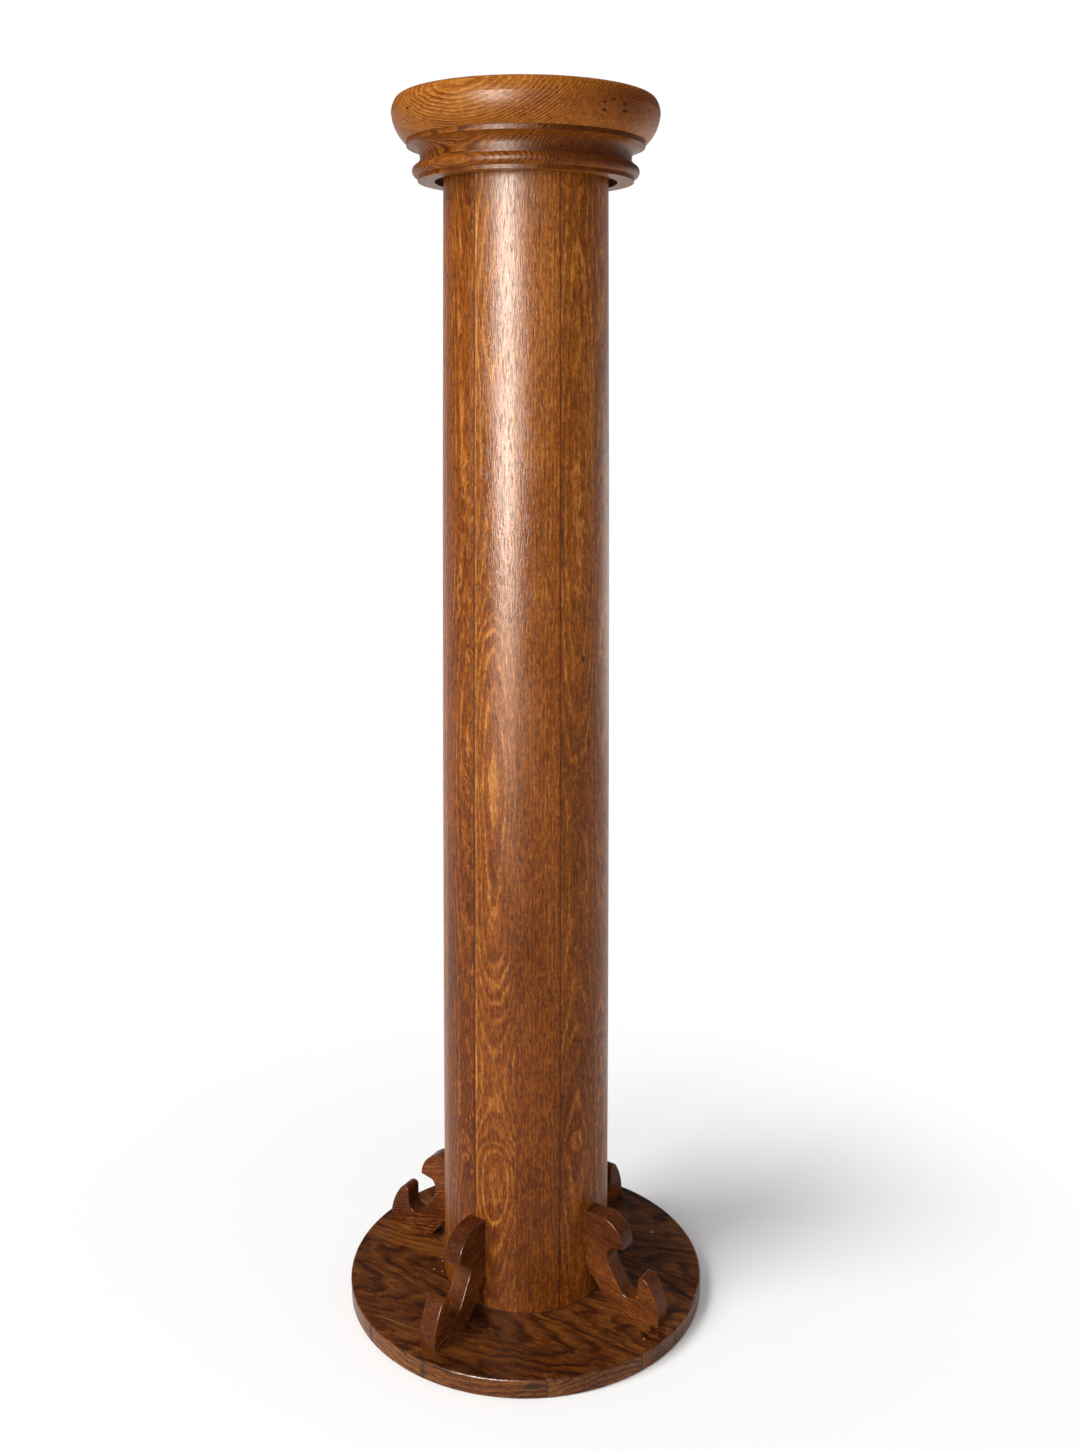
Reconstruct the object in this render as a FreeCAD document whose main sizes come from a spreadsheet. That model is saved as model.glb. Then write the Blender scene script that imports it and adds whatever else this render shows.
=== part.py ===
"""Pedestal column stand of polished hardwood, in millimetres, +Z up.

A round board glued up from six planks carries a hollow tapered column of twelve
coopered staves. Four scroll brackets brace the column's foot, and a turned capital
of two glued discs closes its top. The origin is the centre of the board's underside,
and the front of the stand looks towards -Y. An azimuth is counted from -Y towards +X.
"""
import FreeCAD, Part
import math
import os

import Sketcher

Vector = FreeCAD.Vector

# Name, size and meaning of every driving dimension.
SIZES = (
    ("board_diameter", 320, "round foot board"),
    ("board_thickness", 18, "round foot board"),
    ("board_edge_round", 2, "eased rim, top and bottom"),
    ("grain_turn", 27, "degrees the board's planks turn clockwise from +X"),
    ("middle_seam_offset", 30, "seam in front of the column's middle, from the column's axis"),
    ("rim_plank_width", 27, "front plank, cut down by the round; the one behind it fills the gap"),
    ("third_plank_width", 38, "plank in front of the column's middle"),
    ("fourth_plank_width", 74, "plank under the column's middle"),
    ("fifth_plank_width", 44.5, "plank behind the column's middle"),
    ("shaft_length", 944, "column, from the board to the capital's recess"),
    ("shaft_foot_diameter", 149, "column at the board"),
    ("shaft_neck_diameter", 126.6, "column at the capital"),
    ("shaft_swell", 1.1, "how far the column's side bows out of the straight taper"),
    ("stave_count", 12, "coopered staves"),
    ("first_seam_azimuth", -36, "degrees to the first stave's first glue line"),
    ("stave_foot_thickness", 19, "stave at the board"),
    ("stave_neck_thickness", 16, "stave at the capital"),
    ("foot_plug_height", 45, "turned block inside the column's foot"),
    ("neck_plug_height", 45, "turned block inside the column's neck"),
    ("glue_gap", 0.1, "film of glue round a plug and behind a bracket"),
    ("bracket_thickness", 17, "sawn scroll bracket"),
    ("bracket_height", 86, "bracket above the board"),
    ("bracket_reach", 147.5, "bracket's outer end, from the column's axis"),
    ("bracket_edge_round", 1.2, "softened outline of a bracket"),
    ("heel_width", 25.5, "bevel at the bracket's inner foot, along the board"),
    ("heel_height", 31, "bevel at the bracket's inner foot, up the column"),
    ("hook_reach", 111, "tip of the upper scroll, from the column's axis"),
    ("hook_radius", 24.5, "rounded brow of the upper scroll"),
    ("lip_length", 12, "underside of the upper scroll"),
    ("lip_drop", 2.8, "how far that underside falls inwards"),
    ("throat_radius", 14, "upper curve of the bracket's cut-out"),
    ("cradle_radius", 9, "lower curve of the bracket's cut-out"),
    ("cradle_reach", 117, "middle of that lower curve, from the column's axis"),
    ("cradle_height", 26.3, "middle of that lower curve, above the board"),
    ("toe_height", 41.5, "lower scroll above the board"),
    ("toe_inner_radius", 4, "rounded inside of the lower scroll"),
    ("toe_back_radius", 60, "sweep of the bracket's outer edge"),
    ("toe_shoulder_width", 11, "how far that sweep leans in towards the column"),
    ("toe_shoulder_drop", 3.7, "where that sweep ends, below the lower scroll's top"),
    ("toe_shoulder_radius", 9.1, "rounding between that sweep and the top"),
    ("front_right_azimuth", 55.5, "degrees to this bracket's direction"),
    ("front_left_azimuth", -33.2, "degrees to this bracket's direction"),
    ("rear_left_azimuth", -120.5, "degrees to this bracket's direction"),
    ("rear_right_azimuth", 143.5, "degrees to this bracket's direction"),
    ("front_right_shift", -4, "how far this bracket stands to the side of the axis"),
    ("front_left_shift", -1.5, "how far this bracket stands to the side of the axis"),
    ("rear_left_shift", 0, "how far this bracket stands to the side of the axis"),
    ("rear_right_shift", 0, "how far this bracket stands to the side of the axis"),
    ("capital_base_height", 28.5, "lower disc of the capital"),
    ("capital_top_height", 31, "upper disc of the capital"),
    ("recess_diameter", 140, "shallow recess under the capital"),
    ("recess_depth", 5.5, "shallow recess under the capital"),
    ("lower_fillet_diameter", 165.6, "flat band at the capital's bottom"),
    ("lower_fillet_height", 2.8, "flat band at the capital's bottom"),
    ("lower_torus_height", 8.8, "small torus above that band"),
    ("lower_torus_bulge", 4.4, "how far the small torus swells"),
    ("lip_band_diameter", 164.6, "thin band between small torus and cove"),
    ("lip_band_height", 1.6, "thin band between small torus and cove"),
    ("cove_diameter", 161.6, "narrowest part of the cove"),
    ("cove_radius", 8.6, "hollow curve of the cove"),
    ("upper_fillet_diameter", 182, "flat band under the big torus"),
    ("upper_fillet_height", 3.5, "flat band under the big torus"),
    ("torus_foot_diameter", 185.6, "big torus where it meets that band"),
    ("belly_diameter", 204, "widest part of the big torus"),
    ("belly_height", 20, "widest part above the upper disc's underside"),
    ("belly_bulge", 2.1, "bow of the big torus below its widest part"),
    ("shoulder_diameter", 199.4, "big torus where its top rounding begins"),
    ("shoulder_drop", 3.5, "that place below the top face"),
    ("shoulder_bulge", 0.45, "bow of the big torus above its widest part"),
    ("top_face_diameter", 190, "flat top that a thing rests on"),
    ("top_round_bulge", 0.75, "bow of the top rounding"),
    ("screw_diameter", 4, "wood screw shank"),
    ("screw_head_diameter", 8, "countersunk head"),
    ("screw_sink", 0.5, "head below the wood's face"),
    ("screw_point", 4, "tapered tip"),
    ("screw_slot_width", 1.4, "arms of the cross recess"),
    ("screw_slot_length", 4.6, "arms of the cross recess"),
    ("screw_slot_depth", 1.5, "cross recess"),
    ("long_screw_length", 50, "screws into the plugs"),
    ("short_screw_length", 35, "screws into the brackets"),
    ("screw_clearance", 0.25, "round a shank in a drilled board"),
    ("pilot_clearance", 0.05, "round a shank in its pilot hole"),
    ("pilot_relief", 1.5, "pilot hole beyond the screw's tip"),
    ("plug_screw_radius", 37, "circle of the screws into a plug"),
    ("plug_screw_count", 4, "screws into each plug"),
    ("inner_screw_radius", 104, "bracket's inner screw, from the column's axis"),
    ("outer_screw_radius", 127, "bracket's outer screw, from the column's axis"),
    ("dowel_diameter", 8, "capital dowels"),
    ("dowel_length", 30, "capital dowels"),
    ("dowel_bevel", 0.8, "dowel ends"),
    ("dowel_clearance", 0.05, "round a dowel"),
    ("dowel_relief", 1, "hole beyond a dowel's end"),
    ("dowel_circle_radius", 56, "circle of the dowels"),
    ("dowel_count", 4, "capital dowels"),
)

SIZE = {name: value for name, value, meaning in SIZES}
SPARE = 10.0  # how far a cutting block reaches past the wood that it trims
FULL_TURN = 360.0
SAME = 0.001  # two places closer than this are one place

# Heights above the floor.
BOARD_TOP = "Sizes.board_thickness"
SHAFT_TOP = f"({BOARD_TOP} + Sizes.shaft_length)"
CAPITAL_UNDERSIDE = f"({SHAFT_TOP} - Sizes.recess_depth)"
CAPITAL_JOINT = f"({CAPITAL_UNDERSIDE} + Sizes.capital_base_height)"

# Radii that more than one piece needs.
BOARD_RADIUS = "(Sizes.board_diameter / 2)"
FOOT_RADIUS = "(Sizes.shaft_foot_diameter / 2)"
NECK_RADIUS = "(Sizes.shaft_neck_diameter / 2)"
BORE_FOOT = f"({FOOT_RADIUS} - Sizes.stave_foot_thickness)"
BORE_NECK = f"({NECK_RADIUS} - Sizes.stave_neck_thickness)"
PILOT_DIAMETER = "(Sizes.screw_diameter + 2 * Sizes.pilot_clearance)"
DRILLED_DIAMETER = "(Sizes.screw_diameter + 2 * Sizes.screw_clearance)"
COUNTERSINK_DIAMETER = "(Sizes.screw_head_diameter + 2 * Sizes.screw_sink)"
COUNTERSINK_ANGLE = 90.0
HOLLOW_ANGLE = "60"  # degrees of the column's round that a bracket's back is hollowed to

BRACKETS = ("front_right", "front_left", "rear_left", "rear_right")
BRACKET_SCREW_RADII = ("Sizes.inner_screw_radius", "Sizes.outer_screw_radius")

doc = FreeCAD.newDocument("PedestalColumn")
sheet = doc.addObject("Spreadsheet::Sheet", "Sizes")
for row, (size_name, size_value, size_meaning) in enumerate(SIZES, start=1):
    sheet.set(f"A{row}", size_meaning)
    sheet.set(f"B{row}", str(size_value))
    sheet.setAlias(f"B{row}", size_name)
doc.recompute()


def value(expression):
    """The number that an expression of the sheet's sizes stands for."""
    answer = sheet.evalExpression(expression)
    return float(getattr(answer, "Value", answer))


def bind(target, **expressions):
    """Tie properties of an object to expressions; __ stands for a dot in a property's path."""
    for path, expression in expressions.items():
        target.setExpression(path.replace("__", "."), expression)


def place(target, across="0", back="0", up="0", turn="0"):
    """Tie an object's place, and its turn about +Z in degrees, to expressions."""
    bind(target, Placement__Base__x=across, Placement__Base__y=back, Placement__Base__z=up)
    target.setExpression("Placement.Rotation.Angle", turn)


def new_body(label, up="0", turn="0"):
    """A body whose local +X points outwards at the given turn."""
    body = doc.addObject("PartDesign::Body", label)
    body.Label = label
    place(body, up=up, turn=turn)
    return body


def facing(azimuth):
    """The turn about +Z that points a body's local +X at an azimuth."""
    return f"({azimuth} - 90)"


def origin_plane(body, role):
    """One of a body's own base planes."""
    return next(plane for plane in body.Origin.OriginFeatures if plane.Role == role)


def new_sketch(body, name, plane):
    """An empty sketch on one of a body's base planes."""
    sketch = body.newObject("Sketcher::SketchObject", name)
    sketch.AttachmentSupport = [(origin_plane(body, plane), "")]
    sketch.MapMode = "FlatFace"
    return sketch


def pin_down(sketch, kind, expression, *where):
    """Add one dimension to a sketch and tie it to an expression."""
    index = sketch.addConstraint(Sketcher.Constraint(kind, *where, value(expression)))
    sketch.setExpression(f"Constraints[{index}]", expression)


def bow(start, end, sagitta):
    """Radius of the arc that bows by a sagitta between two corners."""
    across = f"(({end[0]}) - ({start[0]}))"
    up = f"(({end[1]}) - ({start[1]}))"
    return f"(({across} ^ 2 + {up} ^ 2) / (8 * {sagitta}) + {sagitta} / 2)"


class Outline:
    """A closed outline through named corners, joined by straight edges or arcs."""

    LEFT = 1
    RIGHT = -1

    def __init__(self, body, name, plane="XZ_Plane"):
        self.sketch = new_sketch(body, name, plane)
        self.corners = []
        self.bends = []

    def to(self, across, up, radius=None, turn=LEFT):
        """Add a corner; a radius bends the edge that arrives there, turning left or right."""
        self.corners.append((across, up))
        self.bends.append((radius, turn))
        return self

    def bow_to(self, across, up, sagitta, turn=LEFT):
        """Add a corner that is reached along an arc with the given sagitta."""
        radius = bow(self.corners[-1], (across, up), sagitta)
        return self.to(across, up, radius, turn)

    def draw(self):
        """Draw and dimension the outline, and return its sketch."""
        points = [Vector(value(across), value(up), 0) for across, up in self.corners]
        count = len(points)
        ends = []
        for index in range(count):
            arrival = (index + 1) % count
            radius, turn = self.bends[arrival]
            ends.append(self._edge(points[index], points[arrival], radius, turn))
        for index, (geometry, start, end) in enumerate(ends):
            following, next_start, _ = ends[(index + 1) % count]
            joint = Sketcher.Constraint("Coincident", geometry, end, following, next_start)
            self.sketch.addConstraint(joint)
            across, up = self.corners[index]
            pin_down(self.sketch, "DistanceX", across, -1, 1, geometry, start)
            pin_down(self.sketch, "DistanceY", up, -1, 1, geometry, start)
            radius = self.bends[(index + 1) % count][0]
            if radius is not None:
                pin_down(self.sketch, "Radius", radius, geometry)
        return self.sketch

    def _edge(self, start, end, radius, turn):
        """Draw one edge; return its number and its starting and ending point numbers."""
        if radius is None:
            return self.sketch.addGeometry(Part.LineSegment(start, end)), 1, 2
        length = value(radius)
        chord = end - start
        left = Vector(-chord.y, chord.x, 0).normalize()
        offset = math.sqrt(max(length ** 2 - (chord.Length / 2) ** 2, 0))
        centre = (start + end) * 0.5 + left * (offset * turn)
        first, last = (start, end) if turn == self.LEFT else (end, start)
        first_angle = math.atan2(first.y - centre.y, first.x - centre.x)
        last_angle = math.atan2(last.y - centre.y, last.x - centre.x)
        if last_angle < first_angle:
            last_angle += 2 * math.pi
        circle = Part.Circle(centre, Vector(0, 0, 1), length)
        geometry = self.sketch.addGeometry(Part.ArcOfCircle(circle, first_angle, last_angle))
        return (geometry, 1, 2) if turn == self.LEFT else (geometry, 2, 1)


def circles(body, name, places, diameter, plane="XY_Plane"):
    """A sketch of equal circles at the given places."""
    sketch = new_sketch(body, name, plane)
    for across, up in places:
        centre = Vector(value(across), value(up), 0)
        circle = Part.Circle(centre, Vector(0, 0, 1), value(diameter) / 2)
        geometry = sketch.addGeometry(circle)
        pin_down(sketch, "DistanceX", across, -1, 1, geometry, 3)
        pin_down(sketch, "DistanceY", up, -1, 1, geometry, 3)
        pin_down(sketch, "Diameter", diameter, geometry)
    return sketch


def turn_solid(body, sketch, angle=None, kind="Revolution"):
    """Revolve or groove a sketch about the upright axis, over a full turn or an angle."""
    feature = body.newObject(f"PartDesign::{kind}", f"{sketch.Name}_turned")
    feature.Profile = sketch
    feature.ReferenceAxis = (sketch, ["V_Axis"])
    feature.Midplane = True
    if angle is None:
        feature.Angle = FULL_TURN
    else:
        bind(feature, Angle=angle)
    return feature


def drill(body, sketch, diameter, depth=None, countersunk=False, upwards=False):
    """Drill a sketch's circles, through the wood or to a depth."""
    doc.recompute()
    hole = body.newObject("PartDesign::Hole", f"{sketch.Name}_drilled")
    hole.Profile = sketch
    hole.Reversed = upwards
    hole.Threaded = False
    bind(hole, Diameter=diameter)
    if depth is None:
        hole.DepthType = "ThroughAll"
    else:
        hole.DepthType = "Dimension"
        hole.DrillPoint = "Flat"
        bind(hole, Depth=depth)
    if countersunk:
        hole.HoleCutType = "Countersink"
        hole.HoleCutCustomValues = True
        hole.HoleCutCountersinkAngle = COUNTERSINK_ANGLE
        bind(hole, HoleCutDiameter=COUNTERSINK_DIAMETER)
    return hole


def repeat_round(body, feature, count):
    """Repeat a feature evenly about the body's upright axis."""
    pattern = body.newObject("PartDesign::PolarPattern", f"{feature.Name}_round")
    pattern.Originals = [feature]
    pattern.Axis = (origin_plane(body, "Z_Axis"), [""])
    pattern.Angle = FULL_TURN
    bind(pattern, Occurrences=count)
    body.Tip = pattern
    return pattern


def polar(radius, azimuth, shift="0"):
    """Where a point at a radius, azimuth and sideways shift lies, as expressions across and back."""
    sine = f"sin({azimuth} * 1 deg)"
    cosine = f"cos({azimuth} * 1 deg)"
    return f"({radius} * {sine} + {shift} * {cosine})", f"({shift} * {sine} - {radius} * {cosine})"


def bracket_azimuth(side):
    """The expression of one bracket's azimuth."""
    return f"Sizes.{side}_azimuth"


def bracket_shift(side):
    """The expression of one bracket's sideways shift."""
    return f"Sizes.{side}_shift"


# --- the round board -------------------------------------------------------------------

def plug_screw_azimuths():
    """Azimuths of the screws into a plug, square to the planks so that they miss the seams."""
    steps = range(int(SIZE["plug_screw_count"]))
    return [f"({step} * 360 / Sizes.plug_screw_count - Sizes.grain_turn)" for step in steps]


def along_grain(azimuth):
    """An azimuth counted on the board's own axes, which turn with its grain."""
    return f"({azimuth} + Sizes.grain_turn)"


def board_blank():
    """The whole round board with its countersunk screw holes, before it is split into planks."""
    body = new_body("board_blank", turn="-Sizes.grain_turn")
    rim = "Sizes.board_edge_round"
    inner = f"({BOARD_RADIUS} - {rim})"
    outline = Outline(body, "board_section")
    outline.to("0", "0")
    outline.to(inner, "0")
    outline.to(BOARD_RADIUS, rim, rim)
    outline.to(BOARD_RADIUS, f"({BOARD_TOP} - {rim})")
    outline.to(inner, BOARD_TOP, rim)
    outline.to("0", BOARD_TOP)
    turn_solid(body, outline.draw())
    holes = [polar("Sizes.plug_screw_radius", along_grain(azimuth)) for azimuth in plug_screw_azimuths()]
    for side in BRACKETS:
        azimuth = along_grain(bracket_azimuth(side))
        holes += [polar(radius, azimuth, bracket_shift(side)) for radius in BRACKET_SCREW_RADII]
    sketch = circles(body, "board_holes", holes, DRILLED_DIAMETER)
    drill(body, sketch, DRILLED_DIAMETER, countersunk=True, upwards=True)
    return body


def plank_edges():
    """Both faces of the board and its seams, front to back, as distances from the column's axis."""
    third_seam = "Sizes.middle_seam_offset"
    second_seam = f"({third_seam} + Sizes.third_plank_width)"
    first_seam = f"({BOARD_RADIUS} - Sizes.rim_plank_width)"
    fourth_seam = f"({third_seam} - Sizes.fourth_plank_width)"
    fifth_seam = f"({fourth_seam} - Sizes.fifth_plank_width)"
    seams = [first_seam, second_seam, third_seam, fourth_seam, fifth_seam]
    return [f"({BOARD_RADIUS} + {SPARE})", *seams, f"(-{BOARD_RADIUS} - {SPARE})"]


def board_planks():
    """Six planks with the grain one way; the round trims the first and the last."""
    blank = board_blank()
    edges = plank_edges()
    planks = []
    along = f"(-{BOARD_RADIUS} - {SPARE})"
    cosine = "cos(Sizes.grain_turn * 1 deg)"
    sine = "sin(Sizes.grain_turn * 1 deg)"
    for number, (front, back) in enumerate(zip(edges, edges[1:]), start=1):
        sawn = doc.addObject("Part::Box", f"sawn_plank_{number}")
        bind(sawn, Length=f"2 * ({BOARD_RADIUS} + {SPARE})", Width=f"{front} - {back}", Height=BOARD_TOP)
        place(
            sawn,
            across=f"{along} * {cosine} - {front} * {sine}",
            back=f"-{along} * {sine} - {front} * {cosine}",
            turn="-Sizes.grain_turn",
        )
        plank = doc.addObject("Part::Common", f"board_plank_{number}")
        plank.Label = f"board_plank_{number}"
        plank.Base = blank
        plank.Tool = sawn
        planks.append(plank)
    return planks


# --- the column ------------------------------------------------------------------------

def shaft_outline(body, name, gap="0"):
    """Half section of the solid column: a taper that bows out, from its foot to its neck."""
    foot = f"({FOOT_RADIUS} + {gap})"
    neck = f"({NECK_RADIUS} + {gap})"
    outline = Outline(body, name)
    outline.to("0", "0")
    outline.to(foot, "0")
    outline.bow_to(neck, "Sizes.shaft_length", "Sizes.shaft_swell")
    outline.to("0", "Sizes.shaft_length")
    return outline.draw()


def stave(number):
    """One stave: a bevelled wedge of the column, turned outside and flat inside."""
    azimuth = f"(Sizes.first_seam_azimuth + {number - 0.5} * 360 / Sizes.stave_count)"
    body = new_body(f"stave_{number:02d}", up=BOARD_TOP, turn=facing(azimuth))
    sketch = shaft_outline(body, f"stave_section_{number}")
    turn_solid(body, sketch, angle="360 / Sizes.stave_count")
    hollow = Outline(body, f"stave_hollow_{number}")
    hollow.to(f"-{SPARE}", "0")
    hollow.to(BORE_FOOT, "0")
    hollow.to(BORE_NECK, "Sizes.shaft_length")
    hollow.to(f"-{SPARE}", "Sizes.shaft_length")
    planed = body.newObject("PartDesign::Pocket", f"stave_planed_{number}")
    planed.Profile = hollow.draw()
    planed.SideType = "Symmetric"
    bind(planed, Length="Sizes.shaft_foot_diameter")
    return body


def bore_at(height):
    """Distance from the column's axis to the flat inside of the staves at a height."""
    return f"({BORE_FOOT} + ({BORE_NECK} - {BORE_FOOT}) * ({height}) / Sizes.shaft_length)"


def plug(label, low, high, screws_from_below, held_board):
    """A turned block that fills the hollow column between two heights and takes the screws."""
    body = new_body(label, up=f"({BOARD_TOP} + {low})", turn=facing("(-Sizes.grain_turn)"))
    outline = Outline(body, f"{label}_section")
    outline.to("0", "0")
    outline.to(f"({bore_at(low)} - Sizes.glue_gap)", "0")
    outline.to(f"({bore_at(high)} - Sizes.glue_gap)", f"({high} - {low})")
    outline.to("0", f"({high} - {low})")
    turn_solid(body, outline.draw())
    sketch = circles(body, f"{label}_pilot", [("Sizes.plug_screw_radius", "0")], PILOT_DIAMETER)
    if not screws_from_below:
        bind(sketch, AttachmentOffset__Base__z=f"({high} - {low})")
    depth = f"(Sizes.long_screw_length + Sizes.screw_sink - {held_board} + Sizes.pilot_relief)"
    hole = drill(body, sketch, PILOT_DIAMETER, depth=depth, upwards=screws_from_below)
    repeat_round(body, hole, "Sizes.plug_screw_count")
    return body


# --- the scroll brackets ---------------------------------------------------------------

def bracket_outline(body, name):
    """Side view of a bracket: across is the distance from the column's axis, up is from the board."""
    reach = "Sizes.bracket_reach"
    top = "Sizes.bracket_height"
    heel_foot = f"({FOOT_RADIUS} + Sizes.heel_width)"
    inside = f"({FOOT_RADIUS} - {SPARE})"
    bevel = f"(Sizes.heel_height * (1 + {SPARE} / Sizes.heel_width))"
    lip_height = f"({top} - Sizes.hook_radius)"
    lip_end = (f"(Sizes.hook_reach - Sizes.lip_length)", f"({lip_height} - Sizes.lip_drop)")
    # The throat's circle ends at the lip, at 45 degrees above its middle.
    slant = "(Sizes.throat_radius * cos(45 deg))"
    throat = (f"({lip_end[0]} + {slant})", f"({lip_end[1]} - {slant})")
    cradle = ("Sizes.cradle_reach", "Sizes.cradle_height")
    # One straight edge touches both circles: this is the direction from each middle to it.
    run = f"({cradle[0]} - {throat[0]})"
    rise = f"({cradle[1]} - {throat[1]})"
    spacing = f"sqrt({run} ^ 2 + {rise} ^ 2)"
    lean = f"acos((Sizes.throat_radius - Sizes.cradle_radius) / {spacing})"
    touch = f"(atan2({rise}; {run}) - {lean})"
    toe_inside = f"({cradle[0]} + Sizes.cradle_radius)"
    toe_crest = f"({toe_inside} + Sizes.toe_inner_radius)"
    shoulder = (f"({reach} - Sizes.toe_shoulder_width)", "(Sizes.toe_height - Sizes.toe_shoulder_drop)")

    def on_circle(middle, radius):
        return f"({middle[0]} + {radius} * cos({touch}))", f"({middle[1]} + {radius} * sin({touch}))"

    outline = Outline(body, name)
    outline.to(heel_foot, "0")
    outline.to(reach, "0")
    outline.to(*shoulder, "Sizes.toe_back_radius")
    outline.to(toe_crest, "Sizes.toe_height", "Sizes.toe_shoulder_radius")
    outline.to(toe_inside, "(Sizes.toe_height - Sizes.toe_inner_radius)", "Sizes.toe_inner_radius")
    outline.to(toe_inside, cradle[1])
    outline.to(*on_circle(cradle, "Sizes.cradle_radius"), "Sizes.cradle_radius", Outline.RIGHT)
    outline.to(*on_circle(throat, "Sizes.throat_radius"))
    outline.to(*lip_end, "Sizes.throat_radius", Outline.RIGHT)
    outline.to("Sizes.hook_reach", lip_height)
    outline.to("(Sizes.hook_reach - Sizes.hook_radius)", top, "Sizes.hook_radius")
    outline.to(inside, top)
    outline.to(inside, bevel)
    return outline.draw()


def soften(body, feature, label, middle):
    """Round the outline's edges on both faces of a bracket, but not at the board or column."""
    doc.recompute()
    half = SIZE["bracket_thickness"] / 2
    near_column = SIZE["shaft_foot_diameter"] / 2 + SIZE["glue_gap"] + SIZE["bracket_edge_round"]
    names = []
    for number, edge in enumerate(feature.Shape.Edges, start=1):
        box = edge.BoundBox
        on_face = box.YLength < SAME and abs(abs(box.YMin - middle) - half) < SAME
        on_board = box.ZMax < SAME
        on_column = box.XMax < near_column
        if on_face and not on_board and not on_column:
            names.append(f"Edge{number}")
    rounding = body.newObject("PartDesign::Fillet", f"{label}_softened")
    rounding.Base = (feature, names)
    bind(rounding, Radius="Sizes.bracket_edge_round")


def bracket(side):
    """One scroll bracket, hollowed behind to sit against the round column."""
    label = f"bracket_{side}"
    body = new_body(label, up=BOARD_TOP, turn=facing(bracket_azimuth(side)))
    shift = bracket_shift(side)
    side_view = bracket_outline(body, f"{label}_outline")
    bind(side_view, AttachmentOffset__Base__z=f"-{shift}")
    sawn = body.newObject("PartDesign::Pad", f"{label}_sawn")
    sawn.Profile = side_view
    sawn.SideType = "Symmetric"
    bind(sawn, Length="Sizes.bracket_thickness")
    column = shaft_outline(body, f"{label}_column", gap="Sizes.glue_gap")
    fitted = turn_solid(body, column, angle=HOLLOW_ANGLE, kind="Groove")
    soften(body, fitted, label, SIZE[f"{side}_shift"])
    places = [(radius, shift) for radius in BRACKET_SCREW_RADII]
    sketch = circles(body, f"{label}_pilot", places, PILOT_DIAMETER)
    depth = "(Sizes.short_screw_length + Sizes.screw_sink - Sizes.board_thickness + Sizes.pilot_relief)"
    hole = drill(body, sketch, PILOT_DIAMETER, depth=depth, upwards=True)
    body.Tip = hole
    return body


# --- the capital -----------------------------------------------------------------------

def dowel_place():
    """The first dowel, half-way between two screws, on the capital's own axes."""
    half_step = "(180 / Sizes.plug_screw_count * 1 deg)"
    across = f"(Sizes.dowel_circle_radius * cos({half_step}))"
    up = f"(Sizes.dowel_circle_radius * sin({half_step}))"
    return across, up


def dowel_holes(body, label, upwards, height="0"):
    """Blind holes for the dowels in one of the capital's discs."""
    diameter = "(Sizes.dowel_diameter + 2 * Sizes.dowel_clearance)"
    sketch = circles(body, f"{label}_dowel", [dowel_place()], diameter)
    bind(sketch, AttachmentOffset__Base__z=height)
    depth = "(Sizes.dowel_length / 2 + Sizes.dowel_relief)"
    hole = drill(body, sketch, diameter, depth=depth, upwards=upwards)
    return repeat_round(body, hole, "Sizes.dowel_count")


def capital_base():
    """Lower disc: recess, flat band, small torus, thin band, cove and upper flat band."""
    label = "capital_base"
    body = new_body(label, up=CAPITAL_UNDERSIDE, turn=facing("(-Sizes.grain_turn)"))
    band = "(Sizes.lower_fillet_diameter / 2)"
    lip = "(Sizes.lip_band_diameter / 2)"
    cove = "(Sizes.cove_diameter / 2)"
    upper = "(Sizes.upper_fillet_diameter / 2)"
    height = "Sizes.capital_base_height"
    torus_low = "Sizes.lower_fillet_height"
    torus_high = f"({torus_low} + Sizes.lower_torus_height)"
    lip_high = f"({torus_high} + Sizes.lip_band_height)"
    soffit = f"({height} - Sizes.upper_fillet_height)"
    hollow_low = f"({soffit} - Sizes.cove_radius)"
    outline = Outline(body, f"{label}_section")
    outline.to("0", "Sizes.recess_depth")
    outline.to("(Sizes.recess_diameter / 2)", "Sizes.recess_depth")
    outline.to("(Sizes.recess_diameter / 2)", "0")
    outline.to(band, "0")
    outline.to(band, torus_low)
    outline.bow_to(lip, torus_high, "Sizes.lower_torus_bulge")
    outline.to(lip, lip_high)
    outline.to(cove, lip_high)
    outline.to(cove, hollow_low)
    outline.to(f"({cove} + Sizes.cove_radius)", soffit, "Sizes.cove_radius", Outline.RIGHT)
    outline.to(upper, soffit)
    outline.to(upper, height)
    outline.to("0", height)
    turn_solid(body, outline.draw())
    screws = circles(body, f"{label}_screws", [("Sizes.plug_screw_radius", "0")], DRILLED_DIAMETER)
    bind(screws, AttachmentOffset__Base__z=height)
    hole = drill(body, screws, DRILLED_DIAMETER, countersunk=True)
    repeat_round(body, hole, "Sizes.plug_screw_count")
    dowel_holes(body, label, upwards=False, height=height)
    return body


def capital_top():
    """Upper disc: the big torus, its eased upper edge and the flat top."""
    label = "capital_top"
    body = new_body(label, up=CAPITAL_JOINT, turn=facing("(-Sizes.grain_turn)"))
    height = "Sizes.capital_top_height"
    outline = Outline(body, f"{label}_section")
    outline.to("0", "0")
    outline.to("(Sizes.torus_foot_diameter / 2)", "0")
    outline.bow_to("(Sizes.belly_diameter / 2)", "Sizes.belly_height", "Sizes.belly_bulge")
    shoulder = "(Sizes.shoulder_diameter / 2)"
    outline.bow_to(shoulder, f"({height} - Sizes.shoulder_drop)", "Sizes.shoulder_bulge")
    outline.bow_to("(Sizes.top_face_diameter / 2)", height, "Sizes.top_round_bulge")
    outline.to("0", height)
    turn_solid(body, outline.draw())
    dowel_holes(body, label, upwards=True)
    return body


# --- fasteners -------------------------------------------------------------------------

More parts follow.
